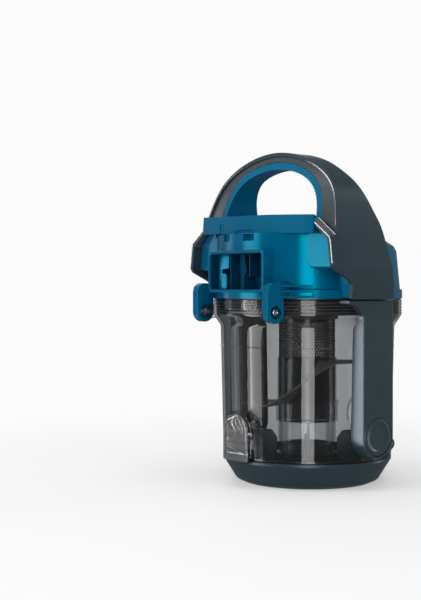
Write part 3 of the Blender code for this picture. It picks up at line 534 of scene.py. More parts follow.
# =============================================================== camera, floor, light
AZ = math.radians(46.5)
DIST, EYE_Z, YAW, PITCH = 0.944, 0.1507, math.radians(4.675), math.radians(-0.486)
cam_data = bpy.data.cameras.new("camera")
cam_data.sensor_width = 36.0
cam_data.lens = 70.8
cam = bpy.data.objects.new("camera", cam_data)
bpy.context.scene.collection.objects.link(cam)
cam.location = (DIST * math.sin(AZ), -DIST * math.cos(AZ), EYE_Z)
look = Matrix.Rotation(YAW, 3, "Z") @ Vector((-math.sin(AZ), math.cos(AZ), 0))
look = Vector((look.x * math.cos(PITCH), look.y * math.cos(PITCH), math.sin(PITCH)))
cam.rotation_mode = "QUATERNION"
cam.rotation_quaternion = look.to_track_quat("-Z", "Y")
cam_data.clip_start, cam_data.clip_end = 0.02, 50
bpy.context.scene.camera = cam

floor_mat, nt, b = new_mat("pale_floor")
ns = node(nt, "ShaderNodeTexNoise")
ns.inputs["Scale"].default_value = 6.0
nt.links.new(coords(nt), ns.inputs["Vector"])
mr = node(nt, "ShaderNodeMapRange")
mr.inputs["To Min"].default_value = 0.86
mr.inputs["To Max"].default_value = 0.90
nt.links.new(ns.outputs["Fac"], mr.inputs["Value"])
nt.links.new(mr.outputs["Result"], b.inputs["Base Color"])
b.inputs["Roughness"].default_value = 0.7
b.inputs["Specular IOR Level"].default_value = 0.2
geo = node(nt, "ShaderNodeNewGeometry")
ln = node(nt, "ShaderNodeVectorMath", operation="LENGTH")
nt.links.new(geo.outputs["Position"], ln.inputs[0])
fade = node(nt, "ShaderNodeMapRange", interpolation_type="SMOOTHSTEP")
fade.inputs["From Min"].default_value = 0.06
fade.inputs["From Max"].default_value = 0.60
fade.inputs["To Min"].default_value = 0.42
nt.links.new(ln.outputs["Value"], fade.inputs["Value"])
em = node(nt, "ShaderNodeEmission")
em.inputs["Strength"].default_value = 0.97
mx = node(nt, "ShaderNodeMixShader")
nt.links.new(fade.outputs["Result"], mx.inputs["Fac"])
nt.links.new(b.outputs["BSDF"], mx.inputs[1])
nt.links.new(em.outputs["Emission"], mx.inputs[2])
nt.links.new(mx.outputs["Shader"], next(n for n in nt.nodes if n.type == "OUTPUT_MATERIAL").inputs["Surface"])
bm = bmesh.new()
bmesh.ops.create_circle(bm, cap_ends=True, segments=96, radius=14.0)
floor = from_bm(bm, "floor", tool=False)
floor.data.materials.append(floor_mat)
floor.visible_glossy = False


def softbox(name, bearing, dist, height, w, h, power, colour=(1, 1, 1), aim=0.12):
    """Area light; bearing in degrees from the camera's side of the object, left negative."""
    a = AZ + math.radians(bearing)
    pos = Vector((dist * math.sin(a), -dist * math.cos(a), height))
    d = bpy.data.lights.new(name, "AREA")
    d.shape = "RECTANGLE"
    d.size, d.size_y = w, h
    d.energy = power
    d.color = colour
    o = bpy.data.objects.new(name, d)
    bpy.context.scene.collection.objects.link(o)
    o.location = pos
    o.rotation_mode = "QUATERNION"
    o.rotation_quaternion = (Vector((0, 0, aim)) - pos).to_track_quat("-Z", "Y")
    return o


softbox("key_front", 1.3, 1.7, 0.15, 0.50, 2.4, 24.0, aim=0.15)
softbox("key_left", -72.5, 1.4, -0.394, 0.56, 1.31, 9.5, aim=-0.394)
softbox("key_left_high", -72.5, 1.4, 0.52, 0.56, 0.50, 2.6, aim=0.52)
wash = softbox("wash_left", -62.0, 1.5, 0.95, 1.0, 1.0, 6.0, aim=0.10)
wash.visible_glossy = False
wash = softbox("wash_right", 55.0, 1.5, 0.80, 0.9, 0.9, 2.5, aim=0.10)
wash.visible_glossy = False
softbox("fill_left", -113.0, 1.5, 0.15, 0.34, 2.2, 2.3, aim=0.15)
softbox("rim_right", 112.0, 1.5, 0.45, 0.35, 1.6, 4.0, aim=0.2)
softbox("rim_back", -165.0, 1.7, 0.8, 1.0, 1.0, 5.0, aim=0.15)
top = softbox("top_light", 0.0, 0.25, 1.9, 1.7, 1.7, 20.0, aim=0.0)

world = bpy.data.worlds.new("studio")
bpy.context.scene.world = world
world.use_nodes = True
wn = world.node_tree
bg = wn.nodes["Background"]
bg.inputs["Color"].default_value = (0.95, 0.97, 1.0, 1)
bg.inputs["Strength"].default_value = 0.16
seen = node(wn, "ShaderNodeBackground")
seen.inputs["Color"].default_value = (1, 1, 1, 1)
seen.inputs["Strength"].default_value = 0.97
lp = node(wn, "ShaderNodeLightPath")
mixw = node(wn, "ShaderNodeMixShader")
wn.links.new(lp.outputs["Is Camera Ray"], mixw.inputs["Fac"])
wn.links.new(bg.outputs["Background"], mixw.inputs[1])
wn.links.new(seen.outputs["Background"], mixw.inputs[2])
wn.links.new(mixw.outputs["Shader"], wn.nodes["World Output"].inputs["Surface"])
bpy.context.scene.view_settings.view_transform = "Standard"
bpy.context.scene.cycles.transparent_max_bounces = 40
bpy.context.scene.cycles.max_bounces = 10

# =============================================================== dimensions (mm)
BIN_Z0, BIN_NECK_Z, BIN_COLLAR_Z, BIN_Z1 = 21.0, 122.7, 130.5, 143.3
BIN_R0, BIN_R1, COLLAR_R, WALL = 66.4, 68.8, 74.6, 2.2
LID_Y, LID_Z = 75.5, 24.0
HEAD_Y, HEAD_Z = -73.1, 134.0
LEVER_Y, LEVER_Z = -70.5, 42.0
LATCH_Y, LATCH_Z = 77.6, 152.5
CAP_Z, CAP_R, RAIL_X, RAIL_W = 40.5, 14.2, 77.2, 16.5
INLET_Z, INLET_R = 48.0, 17.0
HEAD_Z0, FLANGE_Z, DECK_Z = 144.3, 151.0, 193.5
DUCT_W, DUCT_Z0, DUCT_Z1, DUCT_Y = 32.4, 148.7, 180.7, -75.2
COVER_Z0, COVER_Z1 = 193.8, 207.5
TUBE_R = 22.3
ARCH_OUTER = [(81.0, 143.8), (82.5, 155.0), (83.2, 166.0), (81.8, 176.0), (80.4, 187.0),
              (78.4, 198.0), (75.8, 208.0), (72.6, 218.0), (68.2, 227.0), (62.4, 234.6),
              (55.0, 240.8), (46.0, 246.2), (36.0, 250.6), (24.0, 254.2), (12.0, 256.4),
              (0.0, 257.2)]
ARCH_INNER = [(54.2, 193.8), (53.4, 204.0), (51.6, 213.5), (48.4, 222.5), (42.6, 230.4),
              (33.6, 236.8), (23.0, 240.8), (11.5, 243.3), (0.0, 244.2)]
FIN_FRONT_TOP = [(-45.4, 189.2), (-43.4, 200.0), (-39.9, 213.0), (-37.2, 227.5),
                 (-36.0, 242.0), (-34.4, 262.0)]
FIN_REAR = [(-15.6, 262.0), (-16.2, 250.0), (-15.8, 240.0), (-10.4, 227.5), (-4.4, 212.0),
            (1.2, 199.0), (4.4, 187.0), (7.2, 175.0), (10.2, 160.0), (13.2, 143.8)]

# =============================================================== dust bin
prof = [(0.0, BIN_Z1), (COLLAR_R - 0.7, BIN_Z1), (COLLAR_R - 0.15, BIN_Z1 - 0.3), (COLLAR_R, BIN_Z1 - 0.8),
        (COLLAR_R, 141.6), (COLLAR_R - 0.45, 141.3), (COLLAR_R - 0.45, 140.7), (COLLAR_R, 140.4),
        (COLLAR_R, 139.2), (COLLAR_R - 0.45, 138.9), (COLLAR_R - 0.45, 138.3), (COLLAR_R, 138.0),
        (COLLAR_R, 136.8), (COLLAR_R - 0.45, 136.5), (COLLAR_R - 0.45, 135.9), (COLLAR_R, 135.6),
        (COLLAR_R, 134.4), (COLLAR_R - 0.45, 134.1), (COLLAR_R - 0.45, 133.5), (COLLAR_R, 133.2),
        (COLLAR_R, 132.6), (COLLAR_R - 0.35, 131.2), (COLLAR_R - 1.3, 129.7), (71.2, 126.3), (69.6, 124.0),
        (BIN_R1, 122.0), (BIN_R1 - 0.35, 107.6), (BIN_R1 - 0.15, 107.3), (BIN_R1 - 0.15, 106.9), (BIN_R1 - 0.38, 106.6),
        (67.2, 54.6), (67.4, 54.3), (67.4, 53.9), (67.18, 53.6),
        (BIN_R0 + 0.1, 24.4), (BIN_R0 + 0.1, 24.0), (BIN_R0, 21.8), (BIN_R0 - 0.5, BIN_Z0), (0.0, BIN_Z0)]
dust_bin = lathe("dust_bin_body", prof, 192)
lug_pts = [(HEAD_Y + 5.6 * math.cos(a), HEAD_Z + 5.6 * math.sin(a))
           for a in [math.radians(100 + 8 * i) for i in range(21)]]
tools = []
for side in (-1, 1):
    x0, x1 = sorted((side * 31.0, side * 37.4))
    tools.append(prism(f"t_lug{side}", lug_pts + [(-62.5, 129.4), (-62.5, 139.2)], x0, x1, "X", edge=0.5))
arch_o = arc(0, 0, 1, 0, 180, 28)
arch_o = [(16.4 * x, 43.5 + 15.6 * y) for x, y in arch_o]
arch_i = [(14.5 * x, 43.5 + 13.9 * y) for x, y in arc(0, 0, 1, 0, 180, 28)]
tools.append(prism("t_pocket", [(16.4, 24.0)] + arch_o + [(-16.4, 24.0), (-14.5, 24.0)] + list(reversed(arch_i))
                   + [(14.5, 24.0)], -73.2, -62.0, "Y", edge=0.55))
tools.append(bar("t_seat", 2.4, (0, -68.2, 50.5), (0, -64.0, 50.5), 32, edge=0.4))
tools.append(prism("t_rear_lug", arc(LID_Y, LID_Z, 4.5, -130, 50, 20) + [(65.0, 37.0), (65.0, 21.2)], -12.2, 12.2, "X",
                   edge=0.5))
tools.append(prism("t_tooth", [(73.5, 134.5), (76.8, 137.5), (76.8, 139.0), (73.5, 141.5)], -10, 10, "X", edge=0.3))
for side in (-1, 1):
    tools.append(bar(f"t_boss{side}", 4.6, (side * 64.8, 0, CAP_Z), (side * 71.0, 0, CAP_Z), 40, edge=0.3))
add(dust_bin, *tools)
bore = lathe("t_bore", [(0.0, 160), (COLLAR_R - 2.4, 160), (COLLAR_R - 2.4, BIN_COLLAR_Z + 1.4), (COLLAR_R - 3.1, BIN_COLLAR_Z - 0.2),
                        (BIN_R1 - WALL + 0.8, BIN_NECK_Z + 1.9), (BIN_R1 - WALL, BIN_NECK_Z - 0.6), (BIN_R0 - WALL, BIN_Z0), (BIN_R0 - WALL, 0), (0.0, 0)], 192)
cuts = [bore, bar("t_ib", INLET_R + 0.3, (0, 50, INLET_Z), (0, 80, INLET_Z), 72)]
for side in (-1, 1):
    cuts.append(bar(f"t_pil{side}", 1.9, (side * 66.8, 0, CAP_Z), (side * 74, 0, CAP_Z), 24))
cuts += [bar("t_hp", 2.3, (-46, HEAD_Y, HEAD_Z), (46, HEAD_Y, HEAD_Z), 28),
         bar("t_lp", 1.5, (-20, LEVER_Y, LEVER_Z), (20, LEVER_Y, LEVER_Z), 24),
         bar("t_dp", 1.8, (-25, LID_Y, LID_Z), (25, LID_Y, LID_Z), 24)]
cut(dust_bin, *cuts)
piece(dust_bin, "clear_dust_bin", "dust_bin", CLEAR, angle=28)

port = lathe("port", fillet([(INLET_R - 2.0, 61.5), (INLET_R, 61.5), (INLET_R, 73.0), (INLET_R - 2.0, 73.0)], [0.4, 0.4, 0.7, 0.6], 4), 96)
port.data.transform(Matrix.Translation((0, 0, mm(INLET_Z))) @ Matrix.Rotation(-math.pi / 2, 4, "X"))
piece(port, "inlet_port_ring", "inlet_port", CLEAR_PART)

ribs, z_top, z_bot, n = [], BIN_Z1 - 0.5, 131.6, 5
st = (z_top - z_bot) / n
for i in range(n):
    z = z_top - i * st
    ribs += [(71.5, z - 0.1), (71.9, z - 0.35), (71.9, z - st * 0.42), (71.6, z - st * 0.42 - 0.25), (70.1, z - st * 0.5 - 0.2),
             (70.1, z - st + 0.1)]
piece(lathe("g", [(69.2, z_top)] + ribs + [(69.2, z_bot + 0.05)], 160), "collar_sleeve", "bin_gasket", RUBBER, angle=40)
# grey rings between the gasket ribs: painted highlight lines on the ribbed collar
for i in range(4):
    z = BIN_Z1 - 2.3 - 2.4 * i
    extra(lathe("rb", fillet([(71.75, z - 0.28), (72.1, z - 0.28), (72.1, z + 0.28), (71.75, z + 0.28)], 0.1, 2), 160), f"collar_highlight_bead_{i}", COLLAR_HIGHLIGHT_LINE,
          "bin", angle=40)

# =============================================================== side rails
skin = lathe("t_skin", [(0.0, 150.0), (COLLAR_R + 0.3, 150.0), (COLLAR_R + 0.3, BIN_COLLAR_Z - 0.2), (BIN_R1 + 0.3, BIN_NECK_Z - 1.0),
                        (BIN_R0 + 0.35, BIN_Z0), (BIN_R0 + 0.3, 10), (0.0, 10)], 240)
rail_pts = arc(0, CAP_Z, RAIL_W, -180, 0, 40) + [(RAIL_W, BIN_Z1 - 0.2), (-31.5, BIN_Z1 - 0.2), (-31.5, BIN_Z1 - 2.6),
                                                   (-RAIL_W - 5.6, BIN_Z1 - 5.6), (-RAIL_W, BIN_Z1 - 12.5)]
k = len(arc(0, CAP_Z, RAIL_W, -180, 0, 40))
rail_pts = fillet(rail_pts, [0] * k + [0, 0.8, 0.8, 6.0, 7.0], 6)
rail = prism("rail_r", rail_pts, 55.0, RAIL_X, "X", edge=1.5, seg=4, corner=30)
for v in rail.data.vertices:
    if v.co.y < mm(-12.5) and mm(CAP_Z) - v.co.z < mm(14):
        v.co.y += (v.co.x - mm(68)) * 0.11 * min(1.0, max(0.0, (v.co.z - mm(26)) / mm(16)))
cut(rail, skin, bar("t_cr", CAP_R + 0.3, (RAIL_X - 2.6, 0, CAP_Z), (RAIL_X + 5, 0, CAP_Z), 72),
    bar("t_bw", 5.0, (55, 0, CAP_Z), (71.4, 0, CAP_Z), 40), bar("t_sw", 2.4, (55, 0, CAP_Z), (90, 0, CAP_Z), 32),
    bar("t_ss", 4.0, (72.3, 0, CAP_Z), (80, 0, CAP_Z), 32))
rail_l = twin(rail, "rail_l")
piece(rail, "rail_panel_right", "side_rail_right", SLATE_RAIL, angle=30)
piece(rail_l, "rail_panel_left", "side_rail_left", SLATE_RAIL, angle=30)
for side, s in (("right", 1), ("left", -1)):
    c = lathe("cap", [(0.0, -1.2), (CAP_R - 6.2, -1.2), (CAP_R - 5.3, -1.15), (CAP_R - 4.6, -0.85), (CAP_R - 3.9, -0.35), (CAP_R - 3.2, -0.12),
                      (CAP_R - 2.4, -0.05), (CAP_R - 1.2, -0.05), (CAP_R - 0.5, -0.22), (CAP_R - 0.12, -0.6), (CAP_R, -1.0), (CAP_R, -2.2), (0.0, -2.2)], 96)
    m = Matrix.Translation((mm(s * RAIL_X), 0, mm(CAP_Z))) @ Matrix.Rotation(s * math.pi / 2, 4, "Y")
    c.data.transform(m)
    piece(c, f"rail_disc_{side}", f"rail_cap_{side}", SLATE_RAIL, angle=40)

# =============================================================== cyclone insert
ip = lathe("ip", fillet([(71.7, 134.0), (71.7, 132.4), (68.5, 131.8), (24.8, 131.8), (24.8, 127.8), (22.7, 127.8), (22.7, 132.0),
                         (19.6, 132.0), (19.6, 134.0)], 0.35, 3), 160)
piece(ip, "insert_carrier", "insert_plate", CARRIER)

# perforated shroud: a sheet of hexagonal cells with hexagonal holes, rolled into the tube
cols, z0p, z1p = 54, 96.0, 126.5
pitch = 2 * math.pi * TUBE_R / cols
side_len = pitch / math.sqrt(3)
rows = int((z1p - z0p) / (1.5 * side_len))
bm = bmesh.new()
for rI in range(rows):
    for cI in range(cols):
        cx = (cI + 0.5 * (rI % 2)) * pitch
        cz = z0p + side_len + rI * 1.5 * side_len
        outer, inner = [], []
        for q in range(6):
            a = math.radians(30 + 60 * q)
            outer.append((cx + side_len * math.cos(a), cz + side_len * math.sin(a)))
            inner.append((cx + side_len * 0.72 * math.cos(a), cz + side_len * 0.72 * math.sin(a)))
        vs = []
        for u, z in outer + inner:
            w = u / TUBE_R
            vs.append(bm.verts.new((mm(TUBE_R) * math.cos(w), mm(TUBE_R) * math.sin(w), mm(z))))
        for q in range(6):
            p = (q + 1) % 6
            bm.faces.new((vs[q], vs[p], vs[6 + p], vs[6 + q]))
bmesh.ops.remove_doubles(bm, verts=bm.verts, dist=1e-5)
bmesh.ops.recalc_face_normals(bm, faces=bm.faces)
mesh_ = from_bm(bm, "perf")
if sum(p.normal.dot(Vector((p.center.x, p.center.y, 0))) for p in mesh_.data.polygons) < 0:
    mesh_.data.flip_normals()
so = mesh_.modifiers.new("wall", "SOLIDIFY")
so.thickness = mm(1.2)
so.offset = -1
apply(mesh_)
z_lo = z0p + 0.2 * side_len
z_hi = z0p + side_len + (rows - 1) * 1.5 * side_len + 0.8 * side_len
low = lathe("low", [(TUBE_R + 0.05, z_lo + 0.6), (TUBE_R + 0.05, 47.5), (TUBE_R - 0.5, 47.0), (0.0, 47.0), (0.0, 48.8), (TUBE_R - 1.7, 48.8),
                    (TUBE_R - 1.7, z_lo + 0.6)], 128)
high = lathe("high", [(TUBE_R + 0.05, 131.5), (TUBE_R + 0.05, z_hi - 0.6), (TUBE_R - 1.7, z_hi - 0.6), (TUBE_R - 1.7, 131.5)], 128)
piece(low, "shroud_body", "shroud_tube", DARK, body="bin")
extra(high, "shroud_top_band", DARK, "bin")
# perforated band in the lightened plastic: painted highlight on the webs
extra(mesh_, "shroud_mesh", MESH, "bin", angle=50)

# swirl ramp on its sleeve, with the cup round the tube's foot
sl = lathe("sl", [(23.5, 97.5), (23.5, 63.6), (22.7, 63.6), (22.7, 97.5)], 128)
cup = lathe("cup", fillet([(23.5, 63.3), (25.2, 62.6), (25.2, 61.0), (24.4, 60.2), (24.4, 47.0), (22.7, 47.0), (22.7, 63.3)],
                          [0.3, 0.4, 0.4, 0.4, 0.5, 0.2, 0.2], 3), 128)
bm = bmesh.new()
rws, n = [], 120
for i in range(n + 1):
    deg = -150 + 176 * i / n
    a = math.radians(deg)
    t = min(max((deg + 82) / 64, 0), 1)
    z = 62.5 + 33.5 * (t + 0.35 * (3 * t * t - 2 * t ** 3 - t))
    d = Vector((math.cos(a), math.sin(a), 0))
    ring = [(23.3, z), (50.6, z), (51.6, z - 0.2), (52.0, z - 0.8), (51.7, z - 1.4), (51.0, z - 1.6), (23.3, z - 1.6)]
    rws.append([bm.verts.new(mm(r) * d + Vector((0, 0, mm(zz)))) for r, zz in ring])
for a, b in zip(rws, rws[1:]):
    for j in range(7):
        q = (j + 1) % 7
        bm.faces.new((a[j], b[j], b[q], a[q]))
bm.faces.new(rws[0])
bm.faces.new(list(reversed(rws[-1])))
bmesh.ops.recalc_face_normals(bm, faces=bm.faces)
blade = from_bm(bm, "blade")
piece(blade, "swirl_ramp_blade", "swirl_ramp", CLEAR_RAMP, body="bin")
extra(sl, "swirl_ramp_sleeve", CLEAR_THIN, "bin")
extra(cup, "swirl_ramp_cup", CLEAR_PART, "bin")
sp_ = lathe("sp", fillet([(22.8, 46.6), (22.8, 22.2), (21.3, 22.2), (21.3, 46.6)], 0.3, 3), 128)
piece(sp_, "standpipe_clear", "standpipe", CLEAR_PART)

# =============================================================== drop-open lid
lid = lathe("lid", fillet([
    (66.4, 20.7), (66.4, 18.4), (56.6, 2.6), (51.0, 0.0),
    (17.6, 0.0), (17.6, 29.5), (20.2, 29.5), (20.2, 19.4),
    (25.0, 19.4), (25.0, 17.2), (20.2, 15.0), (20.2, 2.4), (51.5, 2.4),
    (59.5, 14.4), (59.5, 17.0), (63.9, 17.0), (63.9, 20.7)],
    [0.5, 1.2, 3.5, 3.0, 1.0, 1.1, 1.1, 0.8, 0.5, 0.5, 1.5, 1.5, 3.0, 0.5, 0.4, 0.4, 0.3], 6), 192)
tools = []
for q in range(4):
    fp = fillet([(57.5, 10.0), (56.0, 30.0), (52.0, 39.6), (28.0, 39.6), (23.6, 33.0), (23.4, 22.4), (25.6, 22.0), (26.0, 1.5), (50.0, 1.5)],
                [0, 4, 6.5, 3.5, 4, 0.3, 0, 0, 0], 7)
    f = prism(f"t_fin{q}", fp, -1.0, 1.0, "Y", edge=0.45)
    tools.append(moved(f, Matrix.Rotation(math.radians(45 + 90 * q), 4, "Z")))
for side in (-1, 1):
    x0, x1 = sorted((side * 12.7, side * 21.0))
    tools.append(prism(f"t_kn{side}", arc(LID_Y, LID_Z, 4.5, -50, 145, 24) + [(LID_Y - 5.6, 20.4), (61.6, 20.4), (61.6, 12.0), (70.0, 14.0)],
                       x0, x1, "X", edge=0.5))
# radial strengthening ribs inside
for q in range(12):
    a = math.radians(15 + 30 * q)
    r_ = prism(f"t_rib{q}", [(21.0, 2.0), (50.5, 2.0), (55.0, 8.0), (40.0, 4.4), (21.0, 4.4)], -0.6, 0.6, "Y")
    tools.append(moved(r_, Matrix.Rotation(a, 4, "Z")))
add(lid, *tools)
cut(lid, lathe("t_seat2", [(63.9, 40), (63.9, 17.0), (59.6, 17.0), (59.6, 40)], 192),
    bar("t_lb", 1.8, (-25, LID_Y, LID_Z), (25, LID_Y, LID_Z), 24))
piece(lid, "lid_moulding", "bottom_lid", LID, angle=32)
tongue = prism("tongue", fillet([(-65.2, 18.9), (-70.2, 19.2), (-71.7, 21.6), (-71.9, 27.2), (-70.2, 29.2), (-68.6, 29.2), (-68.0, 21.5),
                                 (-65.2, 20.4)], 0.4, 3), -8, 8, "X", edge=0.4)
extra(tongue, "lid_tongue", LID, "lid")
piece(lathe("ls", fillet([(63.5, 22.4), (63.5, 17.3), (60.0, 17.3), (60.0, 20.0), (62.2, 22.4)], 0.4, 3), 160), "lid_rim_seal", "lid_seal", RUBBER)
piece(lathe("ps", fillet([(24.8, 21.8), (24.8, 19.7), (20.6, 19.7), (20.6, 21.8)], 0.5, 3), 128), "standpipe_ring_seal", "standpipe_seal", RUBBER)

# =============================================================== release lever
lv = [(13.9 * x, 43.5 + 13.2 * y) for x, y in arc(0, 0, 1, 0, 180, 32)]
lever = prism("lever", fillet([(13.9, 21.2)] + lv + [(-13.9, 21.2)], [1.5] + [0] * 33 + [1.5], 5), -75.4, -73.5, "Y", edge=0.6)
tools = []
for side in (-1, 1):
    x0, x1 = sorted((side * 10.6, side * 12.9))
    tools.append(prism(f"t_lr{side}", fillet([(-74.5, 21.2), (-72.9, 21.2), (-72.6, 30.0), (-68.4, 38.0), (-67.9, 42.0), (-68.4, 46.0),
                                              (-72.4, 49.0), (-74.5, 49.0)], 0.8, 4), x0, x1, "X", edge=0.35))
for z in (29.0, 35.0):
    tools.append(box(f"t_bar{z}", -11.0, 11.0, -74.4, -72.6, z - 0.7, z + 0.7, 0.3))
tools.append(prism("t_catch", [(-74.5, 21.2), (-72.4, 21.2), (-72.3, 24.6), (-73.4, 26.4), (-74.5, 26.4)], -10.8, 10.8, "X", edge=0.3))
tools.append(bar("t_cup", 4.6, (0, -74.4, 50.0), (0, -72.5, 50.0), 48, edge=0.3))
# thumb ring moulded on the face
ringr = lathe("t_ring", fillet([(9.4, 0.5), (9.4, -0.6), (8.2, -0.6), (8.2, 0.5)], 0.35, 3), 64)
ringr.data.transform(Matrix.Translation((0, mm(-75.3), mm(44.5))) @ Matrix.Rotation(math.pi / 2, 4, "X"))
tools.append(ringr)
add(lever, *tools)
cut(lever, bar("t_cb", 3.9, (0, -73.6, 50.0), (0, -70, 50.0), 40), bar("t_lv", 1.5, (-20, LEVER_Y, LEVER_Z), (20, LEVER_Y, LEVER_Z), 24))
piece(lever, "release_lever_clear", "release_lever", CLEAR_LEVER, angle=30)
piece(bar("lp", 1.2, (-16.2, LEVER_Y, LEVER_Z), (16.2, LEVER_Y, LEVER_Z), 32, edge=0.25), "lever_axle", "lever_pin", STEEL)
piece(bar("dp", 1.5, (-21.6, LID_Y, LID_Z), (21.6, LID_Y, LID_Z), 32, edge=0.3), "lid_axle", "lid_hinge_pin", STEEL)


def coil(name, r, y0, y1, z, wire, turns):
    cu = bpy.data.curves.new(name, "CURVE")
    cu.dimensions = "3D"
    cu.bevel_depth = mm(wire)
    cu.bevel_resolution = 3
    cu.use_fill_caps = True
    s = cu.splines.new("POLY")
    n = int(turns * 28)
    s.points.add(n)
    for i, p in enumerate(s.points):
        a = 2 * math.pi * i / 28
        t = i / n
        t = min(max((t - 0.06) / 0.88, 0), 1)
        p.co = (mm(r * math.cos(a)), mm(y0 + (y1 - y0) * t), mm(z + r * math.sin(a)), 1)
    wire_ = bpy.data.objects.new(name, cu)
    me = bpy.data.meshes.new_from_object(wire_)
    bpy.data.objects.remove(wire_)
    return link(bpy.data.objects.new(name, me), True)


spring = piece(coil("lsp", 3.1, -72.9, -67.75, 50.0, 0.32, 6.0), "lever_coil", "lever_spring", STEEL)
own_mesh(spring)
spring = piece(coil("tsp", 2.2, 73.4, 78.1, 159.4, 0.3, 6.0), "latch_coil", "latch_spring", STEEL)
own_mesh(spring)


# =============================================================== outline helpers for the head
def lerp_x(pts, z):
    for (x0, z0), (x1, z1) in zip(pts, pts[1:]):
        if min(z0, z1) <= z <= max(z0, z1) and z0 != z1:
            return x0 + (x1 - x0) * (z - z0) / (z1 - z0)
    return pts[-1][0]


def inset(pts, d):
    out = []
    for i, (x, z) in enumerate(pts):
        a, b = pts[max(i - 1, 0)], pts[min(i + 1, len(pts) - 1)]
        t = Vector((b[0] - a[0], b[1] - a[1])).normalized()
        if i == len(pts) - 1:
            t = Vector((-1.0, 0.0))
        out.append((x - t.y * d, z + t.x * d))
    return out


def smooth_half(pts, start=0, per=4):
    """Half line kept as it is up to index start, smooth beyond, ending level on X = 0."""
    head, tail = pts[:start], pts[start:]
    mirror_tail = tail + [(-x, z) for x, z in reversed(tail[:-1])]
    s = spline(mirror_tail, per)
    return head + s[:(len(tail) - 1) * per + 1]


OUT = smooth_half(ARCH_OUTER, 2)
INN = smooth_half(ARCH_INNER, 0)


def arch_region(name, outer, inner, y0, y1):
    left_out = [(-x, z) for x, z in reversed(outer[:-1])]
    left_in = [(-x, z) for x, z in inner[:-1]]
    return prism(name, list(outer) + left_out + left_in + list(reversed(inner)), y0, y1, "Y")


# =============================================================== filter housing
fh = lathe("fh", fillet([
    (0.0, DECK_Z), (56.6, DECK_Z), (58.2, 190.6), (63.0, 188.6), (68.4, 185.0), (70.4, 181.0), (73.2, FLANGE_Z + 0.5),
    (74.9, FLANGE_Z), (74.9, HEAD_Z0), (0.0, HEAD_Z0)], [0, 1.2, 2.0, 0.5, 3.0, 3.0, 0.7, 0.9, 0.5, 0], 5), 176)
fw = lathe("fw", [(0.0, DECK_Z - 0.02), (71.4, DECK_Z - 0.02), (72.9, 150.0), (0.0, 150.0)], 176)
keep(fw, box("t_half", -56, 56, -90, -30, 140, 200))
tools = [fw]
inner34 = inset(ARCH_OUTER, 3.4)
for s in (-1, 1):
    body = [(40.0, 166.4), (76.0, 166.4)] + [(lerp_x(inner34, z), z) for z in (168.4, 176.0, 187.0, DECK_Z)] + [(40.0, DECK_Z)]
    wing = [(38.0, 172.0), (52.0, 172.0), (52.5, 170.4), (53.4, 168.9), (55.0, 167.7), (57.0, 167.2), (79.2, 167.2), (78.2, 176.0), (76.4, 187.4), (60.8, 199.3), (55.8, 199.6), (54.6, 196.6), (53.7, 192.6), (38.0, 192.6)]
    low_ = [(48.7, HEAD_Z0 + 0.5), (77.3, HEAD_Z0 + 0.5), (78.8, 156.0), (79.2, 165.2), (79.2, 167.9), (48.7, 167.9)]
    for nm, pts, y0, y1, e in (("body", body, -45.0, 3.0, 0.6), ("wing", wing, -49.6, -43.0, 0.9), ("low", low_, -30.0, 10.0, 0.8)):
        pts = [(s * x, z) for x, z in pts]
        part = prism(f"t_{nm}{s}", pts, y0, y1, "Y", edge=e)
        if nm == "wing":
            for v in part.data.vertices:
                if v.co.y < mm(-46.5):
                    v.co.y += mm((abs(v.co.x) / mm(1) - 52.0) * 0.13)
        tools.append(part)
    # outline of a sloping web from the wing down to the low block; it is not built or added to the tools
    web = [(-30.5, 160.0), (-30.5, 150.5), (-29.0, 150.5), (-28.0, 168.0), (-52.0, 168.0), (-52.0, 167.0)]


def rounded(u0, u1, v0, v1, r, n=8):
    pts = []
    for cu_, cv_, a0 in ((u1 - r, v1 - r, 0), (u0 + r, v1 - r, 90), (u0 + r, v0 + r, 180), (u1 - r, v0 + r, 270)):
        pts += [(cu_ + r * math.cos(math.radians(a0 + 90 * i / n)), cv_ + r * math.sin(math.radians(a0 + 90 * i / n)))
                for i in range(n + 1)]
    return pts


tools.append(prism("t_duct", rounded(-DUCT_W, DUCT_W, DUCT_Z0, DUCT_Z1, 4.0), DUCT_Y, -55, "Y", edge=0.7))
arm_pts = arc(-73.1, HEAD_Z, 8.1, -180, 0, 28) + [(-65.0, 141.0), (-65.0, HEAD_Z0 + 0.7), (-58.3, HEAD_Z0 + 0.7), (-58.3, 156.0), (-76.5, 156.0),
                                                    (-80.0, 153.5), (-81.2, 149.5)]
for s in (-1, 1):
    x0, x1 = sorted((s * 37.8, s * 44.2))
    arm = prism(f"t_arm{s}", fillet(arm_pts, [0] * 29 + [0.5, 0.5, 0, 0, 1.5, 1.8, 2.5], 5), x0, x1, "X", edge=0.8)
    tools.append(arm)
    for j, z in enumerate((145.6, 149.6, 153.6)):
        tools.append(prism(f"t_ar{s}{j}", [(s * 44.0, -70.0), (s * 57.0, -48.5), (s * 52.0, -44.0), (s * 40.0, -54.0)], z - 0.7, z + 0.7, "Z", edge=0.25))
for s in (-1, 1):
    x0, x1 = sorted((s * 12.6, s * 15.4))
    tools.append(prism(f"t_ear{s}", fillet([(70.0, 146.5), (74.6, 146.5), (79.4, 150.2), (80.4, 152.5), (79.4, 155.0), (76.0, 156.6), (70.0, 156.6)], [0, .5, 2, 2, 2, 1, 0], 4), x0, x1, "X", edge=0.4))
add(fh, *tools)
cavity = lathe("t_cav", [(0.0, DECK_Z - WALL), (54.4, DECK_Z - WALL), (56.1, 188.4), (61.6, 186.4), (66.2, 183.4), (67.8, 180.2),
                         (70.5, FLANGE_Z), (71.9, 147.5), (71.9, HEAD_Z0 - 2), (0.0, HEAD_Z0 - 2)], 176)
cuts = [cavity]
for s in (-1, 1):
    hp = [(s * x, z) for x, z in ((45.0, 169.0), (75.4, 169.0), (74.2, 185.0), (72.2, 190.8), (45.0, 190.8))]
    cuts.append(prism(f"t_hol{s}", hp, -45.6, 0.4, "Y"))
